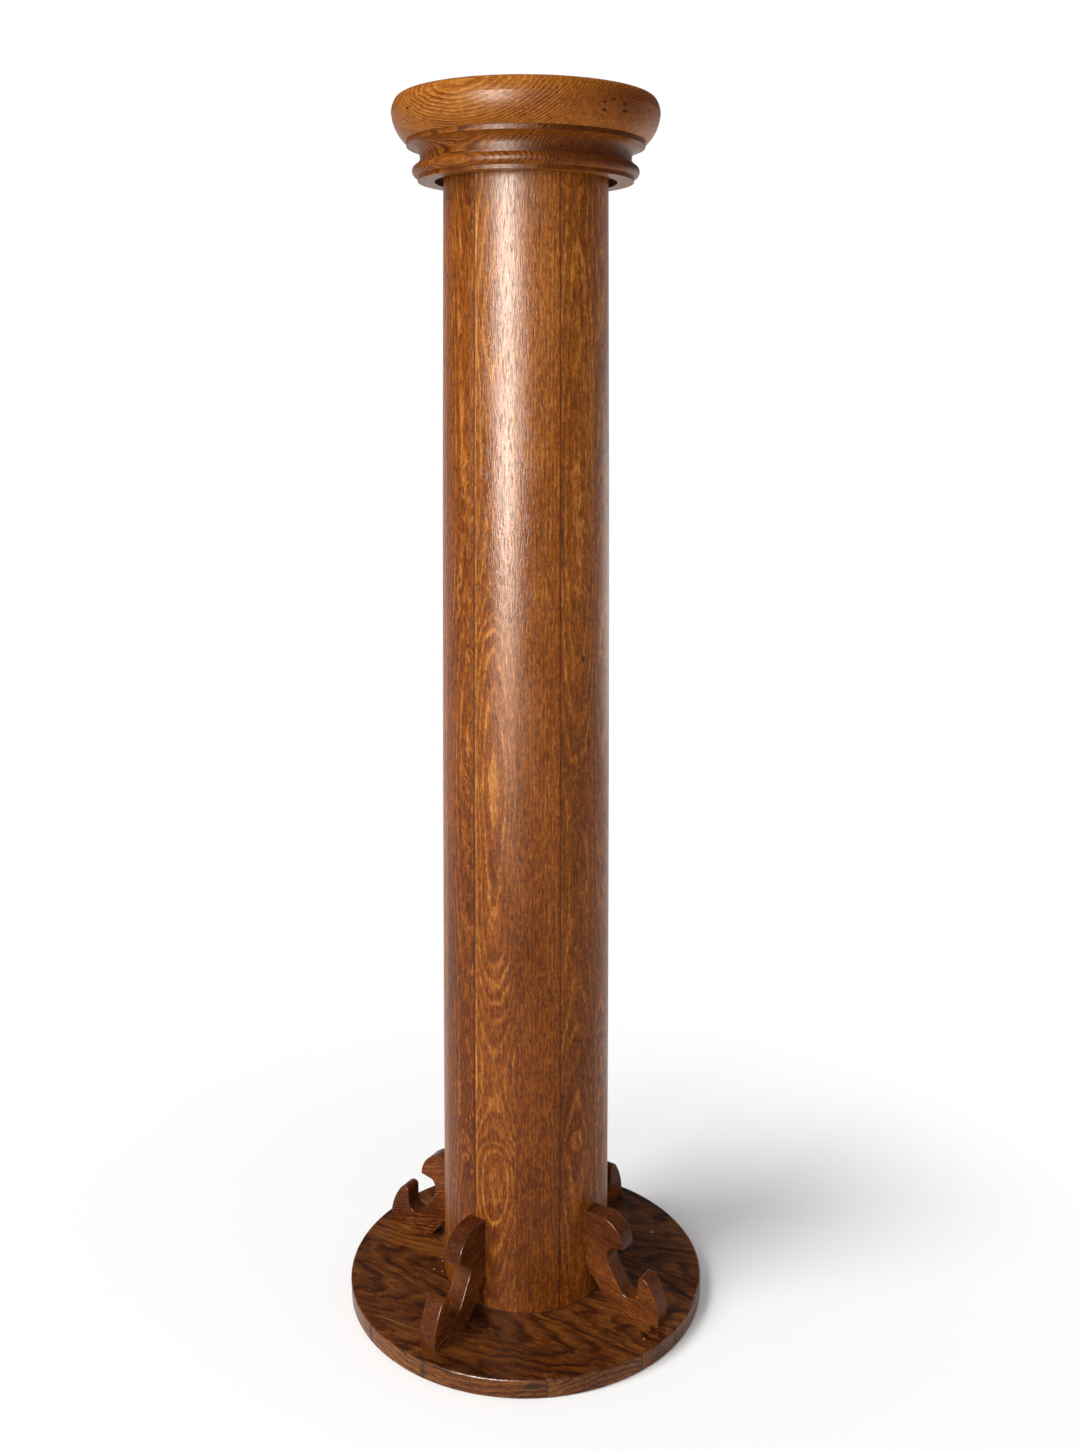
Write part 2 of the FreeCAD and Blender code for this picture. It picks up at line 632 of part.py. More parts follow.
def screw(label, length):
    """A countersunk wood screw with a cross recess; its head is at the origin, its tip upwards."""
    body = new_body(label)
    head = "(Sizes.screw_head_diameter / 2)"
    shank = "(Sizes.screw_diameter / 2)"
    outline = Outline(body, f"{label}_section")
    outline.to("0", "0")
    outline.to(head, "0")
    outline.to(shank, f"({head} - {shank})")
    outline.to(shank, f"({length} - Sizes.screw_point)")
    outline.to("0", length)
    turn_solid(body, outline.draw())
    arm = "(Sizes.screw_slot_length / 2)"
    half = "(Sizes.screw_slot_width / 2)"
    corners = ((arm, half), (half, half), (half, arm), (f"-{half}", arm), (f"-{half}", half),
               (f"-{arm}", half), (f"-{arm}", f"-{half}"), (f"-{half}", f"-{half}"),
               (f"-{half}", f"-{arm}"), (half, f"-{arm}"), (half, f"-{half}"), (arm, f"-{half}"))
    cross = Outline(body, f"{label}_cross", "XY_Plane")
    for across, up in corners:
        cross.to(across, up)
    recess = body.newObject("PartDesign::Pocket", f"{label}_recess")
    recess.Profile = cross.draw()
    recess.Reversed = True
    bind(recess, Length="Sizes.screw_slot_depth")
    return body


def dowel():
    """A dowel with bevelled ends, standing on the origin."""
    body = new_body("dowel_pattern")
    bevel = "Sizes.dowel_bevel"
    radius = "(Sizes.dowel_diameter / 2)"
    outline = Outline(body, "dowel_section")
    outline.to("0", "0")
    outline.to(f"({radius} - {bevel})", "0")
    outline.to(radius, bevel)
    outline.to(radius, f"(Sizes.dowel_length - {bevel})")
    outline.to(f"({radius} - {bevel})", "Sizes.dowel_length")
    outline.to("0", "Sizes.dowel_length")
    turn_solid(body, outline.draw())
    return body


def copies(label, pattern, places, up, upside_down=False):
    """One node that holds separate copies of a fastener, each at its own place."""
    links = []
    for number, (across, back) in enumerate(places, start=1):
        link = doc.addObject("App::Link", f"{label}_{number}")
        link.LinkedObject = pattern
        if upside_down:
            link.Placement.Rotation = FreeCAD.Rotation(Vector(1, 0, 0), 180)
        bind(link, Placement__Base__x=across, Placement__Base__y=back, Placement__Base__z=up)
        links.append(link)
    group = doc.addObject("Part::Compound", label)
    group.Label = label
    group.Links = links
    return group


def fasteners():
    """Screws of the column, the brackets and the capital, and the capital's dowels."""
    long_screw = screw("long_screw", "Sizes.long_screw_length")
    short_screw = screw("short_screw", "Sizes.short_screw_length")
    round_plug = [polar("Sizes.plug_screw_radius", azimuth) for azimuth in plug_screw_azimuths()]
    under_brackets = []
    for side in BRACKETS:
        azimuth, shift = bracket_azimuth(side), bracket_shift(side)
        under_brackets += [polar(radius, azimuth, shift) for radius in BRACKET_SCREW_RADII]
    steps = range(int(SIZE["dowel_count"]))
    dowel_azimuths = [
        f"({step} * 360 / Sizes.dowel_count + 180 / Sizes.plug_screw_count - Sizes.grain_turn)"
        for step in steps
    ]
    round_capital = [polar("Sizes.dowel_circle_radius", azimuth) for azimuth in dowel_azimuths]
    return [
        copies("column_screws", long_screw, round_plug, "Sizes.screw_sink"),
        copies("bracket_screws", short_screw, under_brackets, "Sizes.screw_sink"),
        copies("capital_screws", long_screw, round_plug, f"({CAPITAL_JOINT} - Sizes.screw_sink)",
               upside_down=True),
        copies("capital_dowels", dowel(), round_capital, f"({CAPITAL_JOINT} - Sizes.dowel_length / 2)"),
    ]


def build():
    """Make every piece and return them."""
    pieces = board_planks()
    pieces += [stave(number) for number in range(1, int(SIZE["stave_count"]) + 1)]
    pieces.append(plug("foot_plug", "0", "Sizes.foot_plug_height", True, BOARD_TOP))
    neck_low = "(Sizes.shaft_length - Sizes.neck_plug_height)"
    capital_web = "(Sizes.capital_base_height - Sizes.recess_depth)"
    pieces.append(plug("neck_plug", neck_low, "Sizes.shaft_length", False, capital_web))
    pieces += [bracket(side) for side in BRACKETS]
    pieces.append(capital_base())
    pieces.append(capital_top())
    pieces += fasteners()
    doc.recompute()
    return pieces


def check(pieces):
    """Stop if any object failed or any piece has no sound shape."""
    for item in doc.Objects:
        if "Invalid" in item.State or "Error" in item.State:
            raise RuntimeError(f"{item.Name} failed: {item.State}")
    for piece in pieces:
        if piece.Shape.isNull() or not piece.Shape.isValid():
            raise RuntimeError(f"{piece.Label} has no sound shape")


def main():
    """Build, check and write one file for each piece."""
    pieces = build()
    check(pieces)
    os.makedirs("parts", exist_ok=True)
    for piece in pieces:
        piece.Shape.exportStep(f"parts/{piece.Label}.step")
        print(piece.Label, len(piece.Shape.Solids), round(piece.Shape.Volume))


main()
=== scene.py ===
"""Pedestal column stand of polished hardwood: its finishes, its light and its view.

Lengths are metres in the stand's own frame: +Z up, the origin at the centre of the
board's underside, the front towards -Y. An azimuth is counted in degrees from -Y
towards +X. A timber's own coordinates run across its face, along its grain and out
of its face, in that order.
"""
from __future__ import annotations

import logging
import math
from dataclasses import dataclass, field, replace
from enum import Enum
from typing import Iterable, Optional, Union

import bmesh
import bpy
from mathutils import Matrix, Vector


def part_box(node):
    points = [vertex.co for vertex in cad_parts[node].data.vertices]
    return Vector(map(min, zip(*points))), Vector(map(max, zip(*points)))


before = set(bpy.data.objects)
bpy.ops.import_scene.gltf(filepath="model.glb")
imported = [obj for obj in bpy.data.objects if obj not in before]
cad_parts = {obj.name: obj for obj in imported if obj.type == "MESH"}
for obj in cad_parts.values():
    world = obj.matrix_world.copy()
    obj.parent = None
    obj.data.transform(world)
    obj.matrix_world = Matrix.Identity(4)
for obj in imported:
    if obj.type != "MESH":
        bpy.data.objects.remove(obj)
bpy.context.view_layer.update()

LOG = logging.getLogger("column_stand")
MM = 0.001
ORIGIN = (0.0, 0.0, 0.0)

Colour = tuple[float, float, float]
Triple = tuple[float, float, float]
Socket = bpy.types.NodeSocket
Node = bpy.types.Node
Tree = bpy.types.NodeTree
Material = bpy.types.Material
Value = Union[Socket, float, int, Triple, tuple[float, float, float, float]]


class Noise(Enum):
    """How fine a noise is broken up."""

    PLAIN = 2.0
    FINE = 4.0


# ---- graph


class Graph:
    """A node tree with short ways to add nodes and join them."""

    def __init__(self, tree: Tree) -> None:
        """Holds the tree.

        Args:
            tree: the node tree that every method adds to.
        """
        self.tree = tree

    def node(self, kind: str, **settings: object) -> Node:
        """Adds a node.

        Args:
            kind: the node's type name.
            settings: its own options, by name.

        Returns:
            The new node.
        """
        node = self.tree.nodes.new(kind)
        for name, value in settings.items():
            setattr(node, name, value)
        return node

    def put(self, socket: Socket, value: Value) -> None:
        """Joins an output to an input, or sets the input's plain value.

        Args:
            socket: the input.
            value: another node's output, a number or a colour.
        """
        if isinstance(value, Socket):
            self.tree.links.new(value, socket)
        elif socket.type == "RGBA" and not isinstance(value, (int, float)) and len(value) == 3:
            socket.default_value = (*value, 1.0)
        else:
            socket.default_value = value

    def math(self, operation: str, first: Value, second: Value = 0.0) -> Socket:
        """One sum on numbers, by the Math node's name for it."""
        node = self.node("ShaderNodeMath", operation=operation)
        self.put(node.inputs[0], first)
        self.put(node.inputs[1], second)
        return node.outputs[0]

    def vector(self, operation: str, first: Value, second: Value = ORIGIN) -> Socket:
        """One sum on vectors with a vector result, by the node's name for it."""
        node = self.node("ShaderNodeVectorMath", operation=operation)
        self.put(node.inputs[0], first)
        self.put(node.inputs[1], second)
        return node.outputs["Vector"]

    def length(self, vector: Value) -> Socket:
        """The length of a vector."""
        node = self.node("ShaderNodeVectorMath", operation="LENGTH")
        self.put(node.inputs[0], vector)
        return node.outputs["Value"]

    def split(self, vector: Value) -> tuple[Socket, Socket, Socket]:
        """The three parts of a vector."""
        node = self.node("ShaderNodeSeparateXYZ")
        self.put(node.inputs[0], vector)
        return node.outputs[0], node.outputs[1], node.outputs[2]

    def join(self, x: Value = 0.0, y: Value = 0.0, z: Value = 0.0) -> Socket:
        """A vector of three parts."""
        node = self.node("ShaderNodeCombineXYZ")
        for socket, value in zip(node.inputs, (x, y, z)):
            self.put(socket, value)
        return node.outputs[0]

    def remap(self, value: Value, low: Value, high: Value, to_low: Value = 0.0,
              to_high: Value = 1.0) -> Socket:
        """A number eased smoothly from one range into another.

        Args:
            value: the number.
            low: where the range starts.
            high: where the range ends.
            to_low: the result at the start.
            to_high: the result at the end.

        Returns:
            The result, kept within its range.
        """
        node = self.node("ShaderNodeMapRange", interpolation_type="SMOOTHSTEP")
        for socket, given in zip(node.inputs, (value, low, high, to_low, to_high)):
            self.put(socket, given)
        return node.outputs[0]

    def noise(self, vector: Value, stretch: Value, kind: Noise = Noise.PLAIN,
              distortion: float = 0.0) -> Socket:
        """Noise from 0 to 1 whose blots have a given size each way.

        Args:
            vector: where it is read.
            stretch: cycles a metre across, along and out of the face.
            kind: how fine it is broken up.
            distortion: how far the noise swirls.

        Returns:
            The noise.
        """
        node = self.node("ShaderNodeTexNoise", noise_dimensions="3D")
        self.put(node.inputs["Vector"], self.vector("MULTIPLY", vector, stretch))
        self.put(node.inputs["Scale"], 1.0)
        self.put(node.inputs["Detail"], kind.value)
        self.put(node.inputs["Distortion"], distortion)
        return node.outputs["Fac"]

    def ramp(self, factor: Value, stops: Iterable[tuple[float, Colour]]) -> Socket:
        """A colour ramp.

        Args:
            factor: the number that picks the colour.
            stops: places from 0 to 1 with their colours.

        Returns:
            The colour.
        """
        node = self.node("ShaderNodeValToRGB")
        self.put(node.inputs[0], factor)
        elements = node.color_ramp.elements
        for place, (position, colour) in enumerate(stops):
            stop = elements[place] if place < len(elements) else elements.new(position)
            stop.position = position
            stop.color = (*colour, 1.0)
        return node.outputs[0]

    def mix(self, factor: Value, first: Value, second: Value) -> Socket:
        """Two colours mixed, by how much there is of the second."""
        node = self.node("ShaderNodeMix", data_type="RGBA")
        self.put(node.inputs["Factor"], factor)
        self.put(node.inputs[6], first)
        self.put(node.inputs[7], second)
        return node.outputs[2]

    def local(self, centre: Triple = ORIGIN, turn: Triple = ORIGIN) -> Socket:
        """The object's own coordinates, moved to a centre and turned.

        Args:
            centre: the place that becomes the origin.
            turn: the turn of the new axes, in degrees about X, Y and Z.

        Returns:
            The coordinates.
        """
        place = self.node("ShaderNodeTexCoord")
        node = self.node("ShaderNodeMapping", vector_type="TEXTURE")
        self.put(node.inputs["Vector"], place.outputs["Object"])
        node.inputs["Location"].default_value = centre
        node.inputs["Rotation"].default_value = tuple(math.radians(angle) for angle in turn)
        return node.outputs["Vector"]

    def use(self, group: Tree, **values: Value) -> Node:
        """Places a node group.

        Args:
            group: the node group.
            values: its inputs, by name with _ for a space.

        Returns:
            The group's node.
        """
        node = self.node("ShaderNodeGroup", node_tree=group)
        for name, value in values.items():
            self.put(node.inputs[name.replace("_", " ")], value)
        return node


def new_group(name: str, inputs: dict[str, object],
              outputs: Iterable[str]) -> tuple[Graph, dict[str, Socket], Node]:
    """Starts a node group.

    Args:
        name: the group's name.
        inputs: its inputs: a number for a number socket, three numbers for a vector.
        outputs: the names of its outputs, all numbers but for Vector.

    Returns:
        The graph inside it, its inputs by name, and the node that takes its outputs.
    """
    tree = bpy.data.node_groups.new(name, "ShaderNodeTree")
    for title, value in inputs.items():
        kind = "NodeSocketVector" if isinstance(value, tuple) else "NodeSocketFloat"
        socket = tree.interface.new_socket(title, in_out="INPUT", socket_type=kind)
        socket.default_value = value
    for title in outputs:
        kind = "NodeSocketVector" if title == "Vector" else "NodeSocketFloat"
        tree.interface.new_socket(title, in_out="OUTPUT", socket_type=kind)
    graph = Graph(tree)
    source = graph.node("NodeGroupInput")
    result = graph.node("NodeGroupOutput")
    return graph, {title: source.outputs[title] for title in inputs}, result


# ---- effects

# How often each noise changes: cycles a metre across, along and out of the face.
CALM_RATE = (38.0, 11.0, 38.0)
SLOW_RATE = (30.0, 9.0, 30.0)
QUICK_RATE = (150.0, 62.0, 150.0)
TINY_RATE = (420.0, 190.0, 420.0)
LIVELY_RATE = (60.0, 24.0, 60.0)
CLOUD_RATE = (24.0, 6.5, 24.0)
THICK_RATE = (60.0, 22.0, 60.0)
RIPPLE_RATE = 90.0
PORE_SQUEEZE = 1.3
PORE_STRETCH = 0.13


def ring_group() -> Tree:
    """The growth rings of one board, sawn anywhere from its tree.

    The rings are round the tree's heart, which runs along the grain at a given depth
    behind the face. Where that depth changes along the board they cut the face in
    arches and closed eyes, and beside the heart in nearly straight lines.

    Returns:
        The group. Line is the edge of a ring, weaker where the face cuts the rings
        squarely, and Band the slow change across a ring.
    """
    inputs = {"Vector": ORIGIN, "Heart Side": 0.0, "Heart Depth": 0.02,
              "Ring Width": 0.0025, "Waver": 0.002, "Swirl": 0.5, "Seed": 0.0}
    graph, given, result = new_group("growth_rings", inputs, ("Line", "Band"))
    seed = graph.join(given["Seed"], given["Seed"], given["Seed"])
    shift = graph.vector("MULTIPLY", seed, (1.7, 2.3, 0.9))
    seat = graph.vector("ADD", given["Vector"], shift)
    across, _along, out = graph.split(given["Vector"])
    calm = graph.remap(graph.noise(seat, CALM_RATE), 0.35, 0.65, 0.35, 1.5)
    slow = graph.math("SUBTRACT", graph.noise(seat, SLOW_RATE), 0.5)
    quick = graph.math("SUBTRACT", graph.noise(seat, QUICK_RATE), 0.5)
    tiny = graph.math("SUBTRACT", graph.noise(seat, TINY_RATE), 0.5)
    curl = graph.math("ADD", graph.math("MULTIPLY", quick, 3.2), graph.math("MULTIPLY", tiny, 1.3))
    curl = graph.math("MULTIPLY", graph.math("MULTIPLY", curl, calm), given["Swirl"])
    waver = graph.math("ADD", graph.math("MULTIPLY", slow, 5.0), curl)
    waver = graph.math("MULTIPLY", waver, given["Waver"])
    aside = graph.math("ADD", graph.math("SUBTRACT", across, given["Heart Side"]), waver)
    behind = graph.math("ADD", graph.math("ADD", out, given["Heart Depth"]), waver)
    reach = graph.length(graph.join(aside, behind))
    facing = graph.math("DIVIDE", graph.math("ABSOLUTE", behind), reach)
    flat = graph.remap(facing, 0.72, 0.93, 0.40, 1.0)
    phase = graph.math("DIVIDE", reach, given["Ring Width"])
    saw = graph.math("FRACT", phase)
    fade = graph.math("ABSOLUTE", graph.math("SUBTRACT", saw, 0.5))
    line = graph.remap(fade, 0.30, 0.03)
    ring = graph.math("FLOOR", phase)
    year = graph.noise(graph.join(graph.math("MULTIPLY", ring, 0.37), given["Seed"]), (1.0, 1.0, 1.0))
    lively = graph.remap(graph.noise(seat, LIVELY_RATE), 0.36, 0.64, 0.5, 1.0)
    lively = graph.math("MULTIPLY", lively, graph.remap(year, 0.35, 0.65, 0.6, 1.15))
    graph.put(result.inputs["Line"], graph.math("MULTIPLY", graph.math("MULTIPLY", line, lively), flat))
    graph.put(result.inputs["Band"], saw)
    return graph.tree


def figure_group() -> Tree:
    """The small figure of a hardwood's face.

    Returns:
        The group. Ripple is the curl across the grain, Fleck the fine wavy light and
        dark along it, Cloud the broad change of tone, and Pore the open vessels.
    """
    inputs = {"Vector": ORIGIN, "Ripple Length": 0.006, "Fleck Width": 0.0016,
              "Fleck Length": 0.008, "Seed": 0.0}
    outputs = ("Ripple", "Fleck", "Cloud", "Pore")
    graph, given, result = new_group("hardwood_figure", inputs, outputs)
    seed = graph.join(given["Seed"], given["Seed"], given["Seed"])
    shift = graph.vector("MULTIPLY", seed, (3.1, 1.3, 2.7))
    seat = graph.vector("ADD", given["Vector"], shift)
    across_rate = graph.math("DIVIDE", 1.0, given["Fleck Width"])
    along_rate = graph.math("DIVIDE", 1.0, given["Fleck Length"])
    ripple_rate = graph.math("DIVIDE", 1.0, given["Ripple Length"])
    ripple = graph.noise(seat, graph.join(RIPPLE_RATE, ripple_rate, RIPPLE_RATE), Noise.PLAIN, 2.2)
    fleck = graph.noise(seat, graph.join(across_rate, along_rate, across_rate), Noise.PLAIN, 1.3)
    cloud = graph.noise(seat, CLOUD_RATE, Noise.FINE)
    pore_rate = graph.math("DIVIDE", PORE_SQUEEZE, given["Fleck Width"])
    pore_length = graph.math("MULTIPLY", pore_rate, PORE_STRETCH)
    pore = graph.noise(seat, graph.join(pore_rate, pore_length, pore_rate))
    thick = graph.noise(seat, THICK_RATE)
    open_pore = graph.math("ADD", pore, graph.math("MULTIPLY", thick, 0.16))
    graph.put(result.inputs["Ripple"], graph.remap(ripple, 0.30, 0.70, -1.0, 1.0))
    graph.put(result.inputs["Fleck"], graph.remap(fleck, 0.30, 0.70, -1.0, 1.0))
    graph.put(result.inputs["Cloud"], graph.remap(cloud, 0.28, 0.72, -1.0, 1.0))
    graph.put(result.inputs["Pore"], graph.remap(open_pore, 0.64, 0.76))
    return graph.tree


def coopered_group() -> Tree:
    """A stave's own coordinates on the round of the column.

    Returns:
        The group. Vector is the way across the stave, up it and out of its face, and
        Side goes from -1 at the stave's left edge to 1 at its right edge.
    """
    inputs = {"Vector": ORIGIN, "Foot Radius": 0.07, "Taper": 0.012, "Half Angle": 0.26}
    graph, given, result = new_group("stave_coordinates", inputs, ("Vector", "Side"))
    x, y, z = graph.split(given["Vector"])
    angle = graph.math("ARCTAN2", x, graph.math("MULTIPLY", y, -1.0))
    radius = graph.length(graph.join(x, y))
    face = graph.math("SUBTRACT", given["Foot Radius"], graph.math("MULTIPLY", z, given["Taper"]))
    across = graph.math("MULTIPLY", angle, given["Foot Radius"])
    side = graph.math("DIVIDE", angle, given["Half Angle"])
    graph.put(result.inputs["Vector"], graph.join(across, z, graph.math("SUBTRACT", radius, face)))
    graph.put(result.inputs["Side"], side)
    return graph.tree


def round_group() -> Tree:
    """The true round of the column, over faces that only come near it.

    Returns:
        The group. Vector is the direction straight out from the column's axis on its
        outside, and the surface's own direction everywhere else.
    """
    inputs = {"Vector": ORIGIN, "Taper": 0.012}
    graph, given, result = new_group("turned_round", inputs, ("Vector",))
    x, y, _z = graph.split(given["Vector"])
    rise = graph.math("MULTIPLY", graph.length(graph.join(x, y)), given["Taper"])
    outward = graph.vector("NORMALIZE", graph.join(x, y, rise))
    own = graph.node("ShaderNodeTexCoord").outputs["Normal"]
    agree = graph.node("ShaderNodeVectorMath", operation="DOT_PRODUCT")
    graph.put(agree.inputs[0], own)
    graph.put(agree.inputs[1], outward)
    share = graph.remap(agree.outputs["Value"], 0.80, 0.92)
    rest = graph.math("SUBTRACT", 1.0, share)
    mixed = graph.vector("ADD", graph.vector("MULTIPLY", outward, graph.join(share, share, share)),
                         graph.vector("MULTIPLY", own, graph.join(rest, rest, rest)))
    graph.put(result.inputs["Vector"], graph.vector("NORMALIZE", mixed))
    return graph.tree


def mark_group() -> Tree:
    """A soft-edged oval mark, such as a knot, a slit or a worn spot.

    Returns:
        The group. Mark is 1 within the oval and 0 outside it.
    """
    inputs = {"Vector": ORIGIN, "Centre": ORIGIN,
              "Size": (0.01, 0.01, 0.01), "Soft": 0.4}
    graph, given, result = new_group("oval_mark", inputs, ("Mark",))
    offset = graph.vector("SUBTRACT", given["Vector"], given["Centre"])
    reach = graph.length(graph.vector("DIVIDE", offset, given["Size"]))
    inner = graph.math("SUBTRACT", 1.0, given["Soft"])
    outer = graph.math("ADD", 1.0, given["Soft"])
    graph.put(result.inputs["Mark"], graph.remap(reach, outer, inner))
    return graph.tree


# ---- finishes


@dataclass(frozen=True)
class Varnish:
    """The polish over a timber, as plain numbers for the shader."""

    roughness: float = 0.30
    specular: float = 0.10


@dataclass(frozen=True)
class Timber:
    """A kind of wood: its colours from dark to pale and how strong its figure is.

    A ring below zero makes the edges of its growth rings dark instead of pale.
    """

    name: str
    tones: tuple[tuple[float, Colour], ...]
    pore_colour: Colour = (0.035, 0.010, 0.004)
    ring: float = 0.26
    band: float = 0.06
    ripple: float = 0.05
    fleck: float = 0.15
    cloud: float = 0.07
    pore: float = 0.46
    end_grain: float = 0.25
    ripple_length: float = 0.0050
    fleck_width: float = 0.0017
    fleck_length: float = 0.0100
    relief: float = 0.00022
    varnish: Varnish = Varnish()


@dataclass(frozen=True)
class Mark:
    """One knot, slit or spot: its centre and half sizes across, along and out."""

    centre: Triple
    size: Triple
    colour: Colour = (0.012, 0.005, 0.003)
    strength: float = 0.9
    soft: float = 0.35


@dataclass(frozen=True)
class Cut:
    """How one piece was sawn: where its tree's heart lay, and what its rings are like."""

    seed: float
    heart_side: float = 0.0
    heart_depth: float = 0.03
    ring_width: float = 0.0026
    waver: float = 0.0010
    swirl: float = 1.0
    slope: float = 0.0
    tone: float = 0.0
    marks: tuple[Mark, ...] = ()


GOLDEN = Timber(
    "golden_hardwood",
    tones=((0.0, (0.045, 0.008, 0.001)), (0.30, (0.125, 0.028, 0.003)),
           (0.58, (0.270, 0.074, 0.007)), (1.0, (0.620, 0.245, 0.048))))
TURNED = Timber(
    "turned_golden_hardwood",
    tones=((0.0, (0.045, 0.009, 0.002)), (0.30, (0.130, 0.032, 0.004)),
           (0.58, (0.300, 0.090, 0.010)), (1.0, (0.680, 0.300, 0.060))),
    ring=-0.36, band=0.12, ripple=0.04, fleck=0.08, pore=0.30, end_grain=0.30,
    varnish=Varnish(roughness=0.33, specular=0.06))
ROSY = Timber(
    "dark_rosy_hardwood",
    tones=((0.0, (0.007, 0.002, 0.001)), (0.32, (0.034, 0.008, 0.002)),
           (0.60, (0.096, 0.025, 0.004)), (1.0, (0.290, 0.100, 0.018))),
    ring=-0.38, band=0.10, ripple=0.04, fleck=0.09, cloud=0.10, pore=0.55, end_grain=0.10,
    fleck_width=0.0018, fleck_length=0.030, ripple_length=0.012,
    varnish=Varnish(roughness=0.30, specular=0.15))
SAWN = Timber(
    "dark_bracket_hardwood",
    tones=((0.0, (0.012, 0.004, 0.002)), (0.34, (0.052, 0.013, 0.004)),
           (0.62, (0.150, 0.038, 0.008)), (1.0, (0.420, 0.135, 0.028))),
    ring=0.42, band=0.22, ripple=0.05, fleck=0.08, cloud=0.12, pore=0.25, end_grain=0.02,
    fleck_width=0.0016, fleck_length=0.020,
    varnish=Varnish(roughness=0.24, specular=0.09))
PLAIN = Timber(
    "plain_hardwood",
    tones=((0.0, (0.120, 0.055, 0.022)), (0.40, (0.300, 0.165, 0.075)),
           (0.65, (0.420, 0.250, 0.125)), (1.0, (0.560, 0.370, 0.210))),
    varnish=Varnish(roughness=0.62))


@dataclass
class Workshop:
    """The shared effects, and the recipes that turn a timber into a material."""

    rings: Tree = field(default_factory=ring_group)
    figure: Tree = field(default_factory=figure_group)
    coopered: Tree = field(default_factory=coopered_group)
    turned: Tree = field(default_factory=round_group)
    mark: Tree = field(default_factory=mark_group)
    dent_roughness: float = 0.25
    cloud_roughness: float = 0.05
    fleck_relief: float = 0.25
    relief_strength: float = 0.5

    def wood(self, name: str, graph: Graph, material: Material, timber: Timber, cut: Cut,
             seat: Socket, heart_depth: Optional[Value] = None, shade: Optional[Socket] = None,
             shade_colour: Colour = (0.035, 0.008, 0.004), grain: Optional[Triple] = None,
             edge_of: Optional[Triple] = None, tone_shift: Optional[Socket] = None,
             facing: Optional[Socket] = None) -> None:
        """Wires a timber's colour, roughness and relief to the material's shader.

        Args:
            name: the piece's name, for the log.
            graph: the material's graph.
            material: the material.
            timber: the kind of wood.
            cut: how the piece was sawn.
            seat: the timber's own coordinates.
            heart_depth: how deep the tree's heart lies, where it changes along the piece.
            shade: a mask that is darkened, such as the glue lines and a line of painted shade where
                parts meet.
            shade_colour: the colour that the mask goes to.
            grain: the direction of the grain, where end grain shows and drinks more stain.
            edge_of: the direction that a sawn board faces, where its cut edges are plainer.
            tone_shift: a change of tone over the piece.
            facing: the direction of the surface, where it is rounder than its faces.
        """
        rings = graph.use(self.rings, Vector=seat, Heart_Side=cut.heart_side,
                          Heart_Depth=cut.heart_depth if heart_depth is None else heart_depth,
                          Ring_Width=cut.ring_width, Waver=cut.waver, Swirl=cut.swirl, Seed=cut.seed)
        figure = graph.use(self.figure, Vector=seat, Ripple_Length=timber.ripple_length,
                           Fleck_Width=timber.fleck_width, Fleck_Length=timber.fleck_length,
                           Seed=cut.seed)
        tone: Value = 0.5 + cut.tone
        ring_line = rings.outputs["Line"]
        if edge_of is not None:
            flat = self.end_grain(graph, edge_of)
            ring_line = graph.math("MULTIPLY", ring_line, graph.remap(flat, 0.2, 0.8, 0.5, 1.0))
            tone = graph.math("ADD", tone, graph.remap(flat, 0.2, 0.8, -timber.end_grain, 0.0))
        for strength, part, middle in ((timber.ring, ring_line, 0.3),
                                       (timber.band, rings.outputs["Band"], 0.5),
                                       (timber.ripple, figure.outputs["Ripple"], 0.0),
                                       (timber.fleck, figure.outputs["Fleck"], 0.0),
                                       (timber.cloud, figure.outputs["Cloud"], 0.0)):
            step = graph.math("MULTIPLY", graph.math("SUBTRACT", part, middle), strength)
            tone = graph.math("ADD", tone, step)
        if tone_shift is not None:
            tone = graph.math("ADD", tone, tone_shift)
        if grain is not None:
            thirst = graph.math("MULTIPLY", self.end_grain(graph, grain), timber.end_grain)
            tone = graph.math("SUBTRACT", tone, thirst)
        colour = graph.ramp(tone, timber.tones)
        pore = graph.math("MULTIPLY", figure.outputs["Pore"], timber.pore)
        colour = graph.mix(pore, colour, timber.pore_colour)
        dents: Value = pore
        if shade is not None:
            colour = graph.mix(shade, colour, shade_colour)
            dents = graph.math("MAXIMUM", dents, shade)
        for mark in cut.marks:
            spot = graph.use(self.mark, Vector=seat, Centre=mark.centre, Size=mark.size,
                             Soft=mark.soft)
            mask = graph.math("MULTIPLY", spot.outputs["Mark"], mark.strength)
            colour = graph.mix(mask, colour, mark.colour)
            dents = graph.math("MAXIMUM", dents, mask)
        shader = material.node_tree.nodes["Principled BSDF"]
        graph.put(shader.inputs["Base Color"], colour)
        worn = graph.math("MULTIPLY", dents, self.dent_roughness)
        rough = graph.math("ADD", timber.varnish.roughness, worn)
        uneven = graph.math("MULTIPLY", figure.outputs["Cloud"], self.cloud_roughness)
        rough = graph.math("ADD", rough, uneven)
        graph.put(shader.inputs["Roughness"], rough)
        raised = graph.math("MULTIPLY", figure.outputs["Fleck"], self.fleck_relief)
        height = graph.math("SUBTRACT", raised, dents)
        bump = graph.node("ShaderNodeBump")
        bump.inputs["Strength"].default_value = self.relief_strength
        bump.inputs["Distance"].default_value = timber.relief
        graph.put(bump.inputs["Height"], height)
        if facing is not None:
            graph.put(bump.inputs["Normal"], facing)
        graph.put(shader.inputs["Normal"], bump.outputs["Normal"])
        shader.inputs["Specular IOR Level"].default_value = timber.varnish.specular
        LOG.info("%s: %s", name, timber.name)

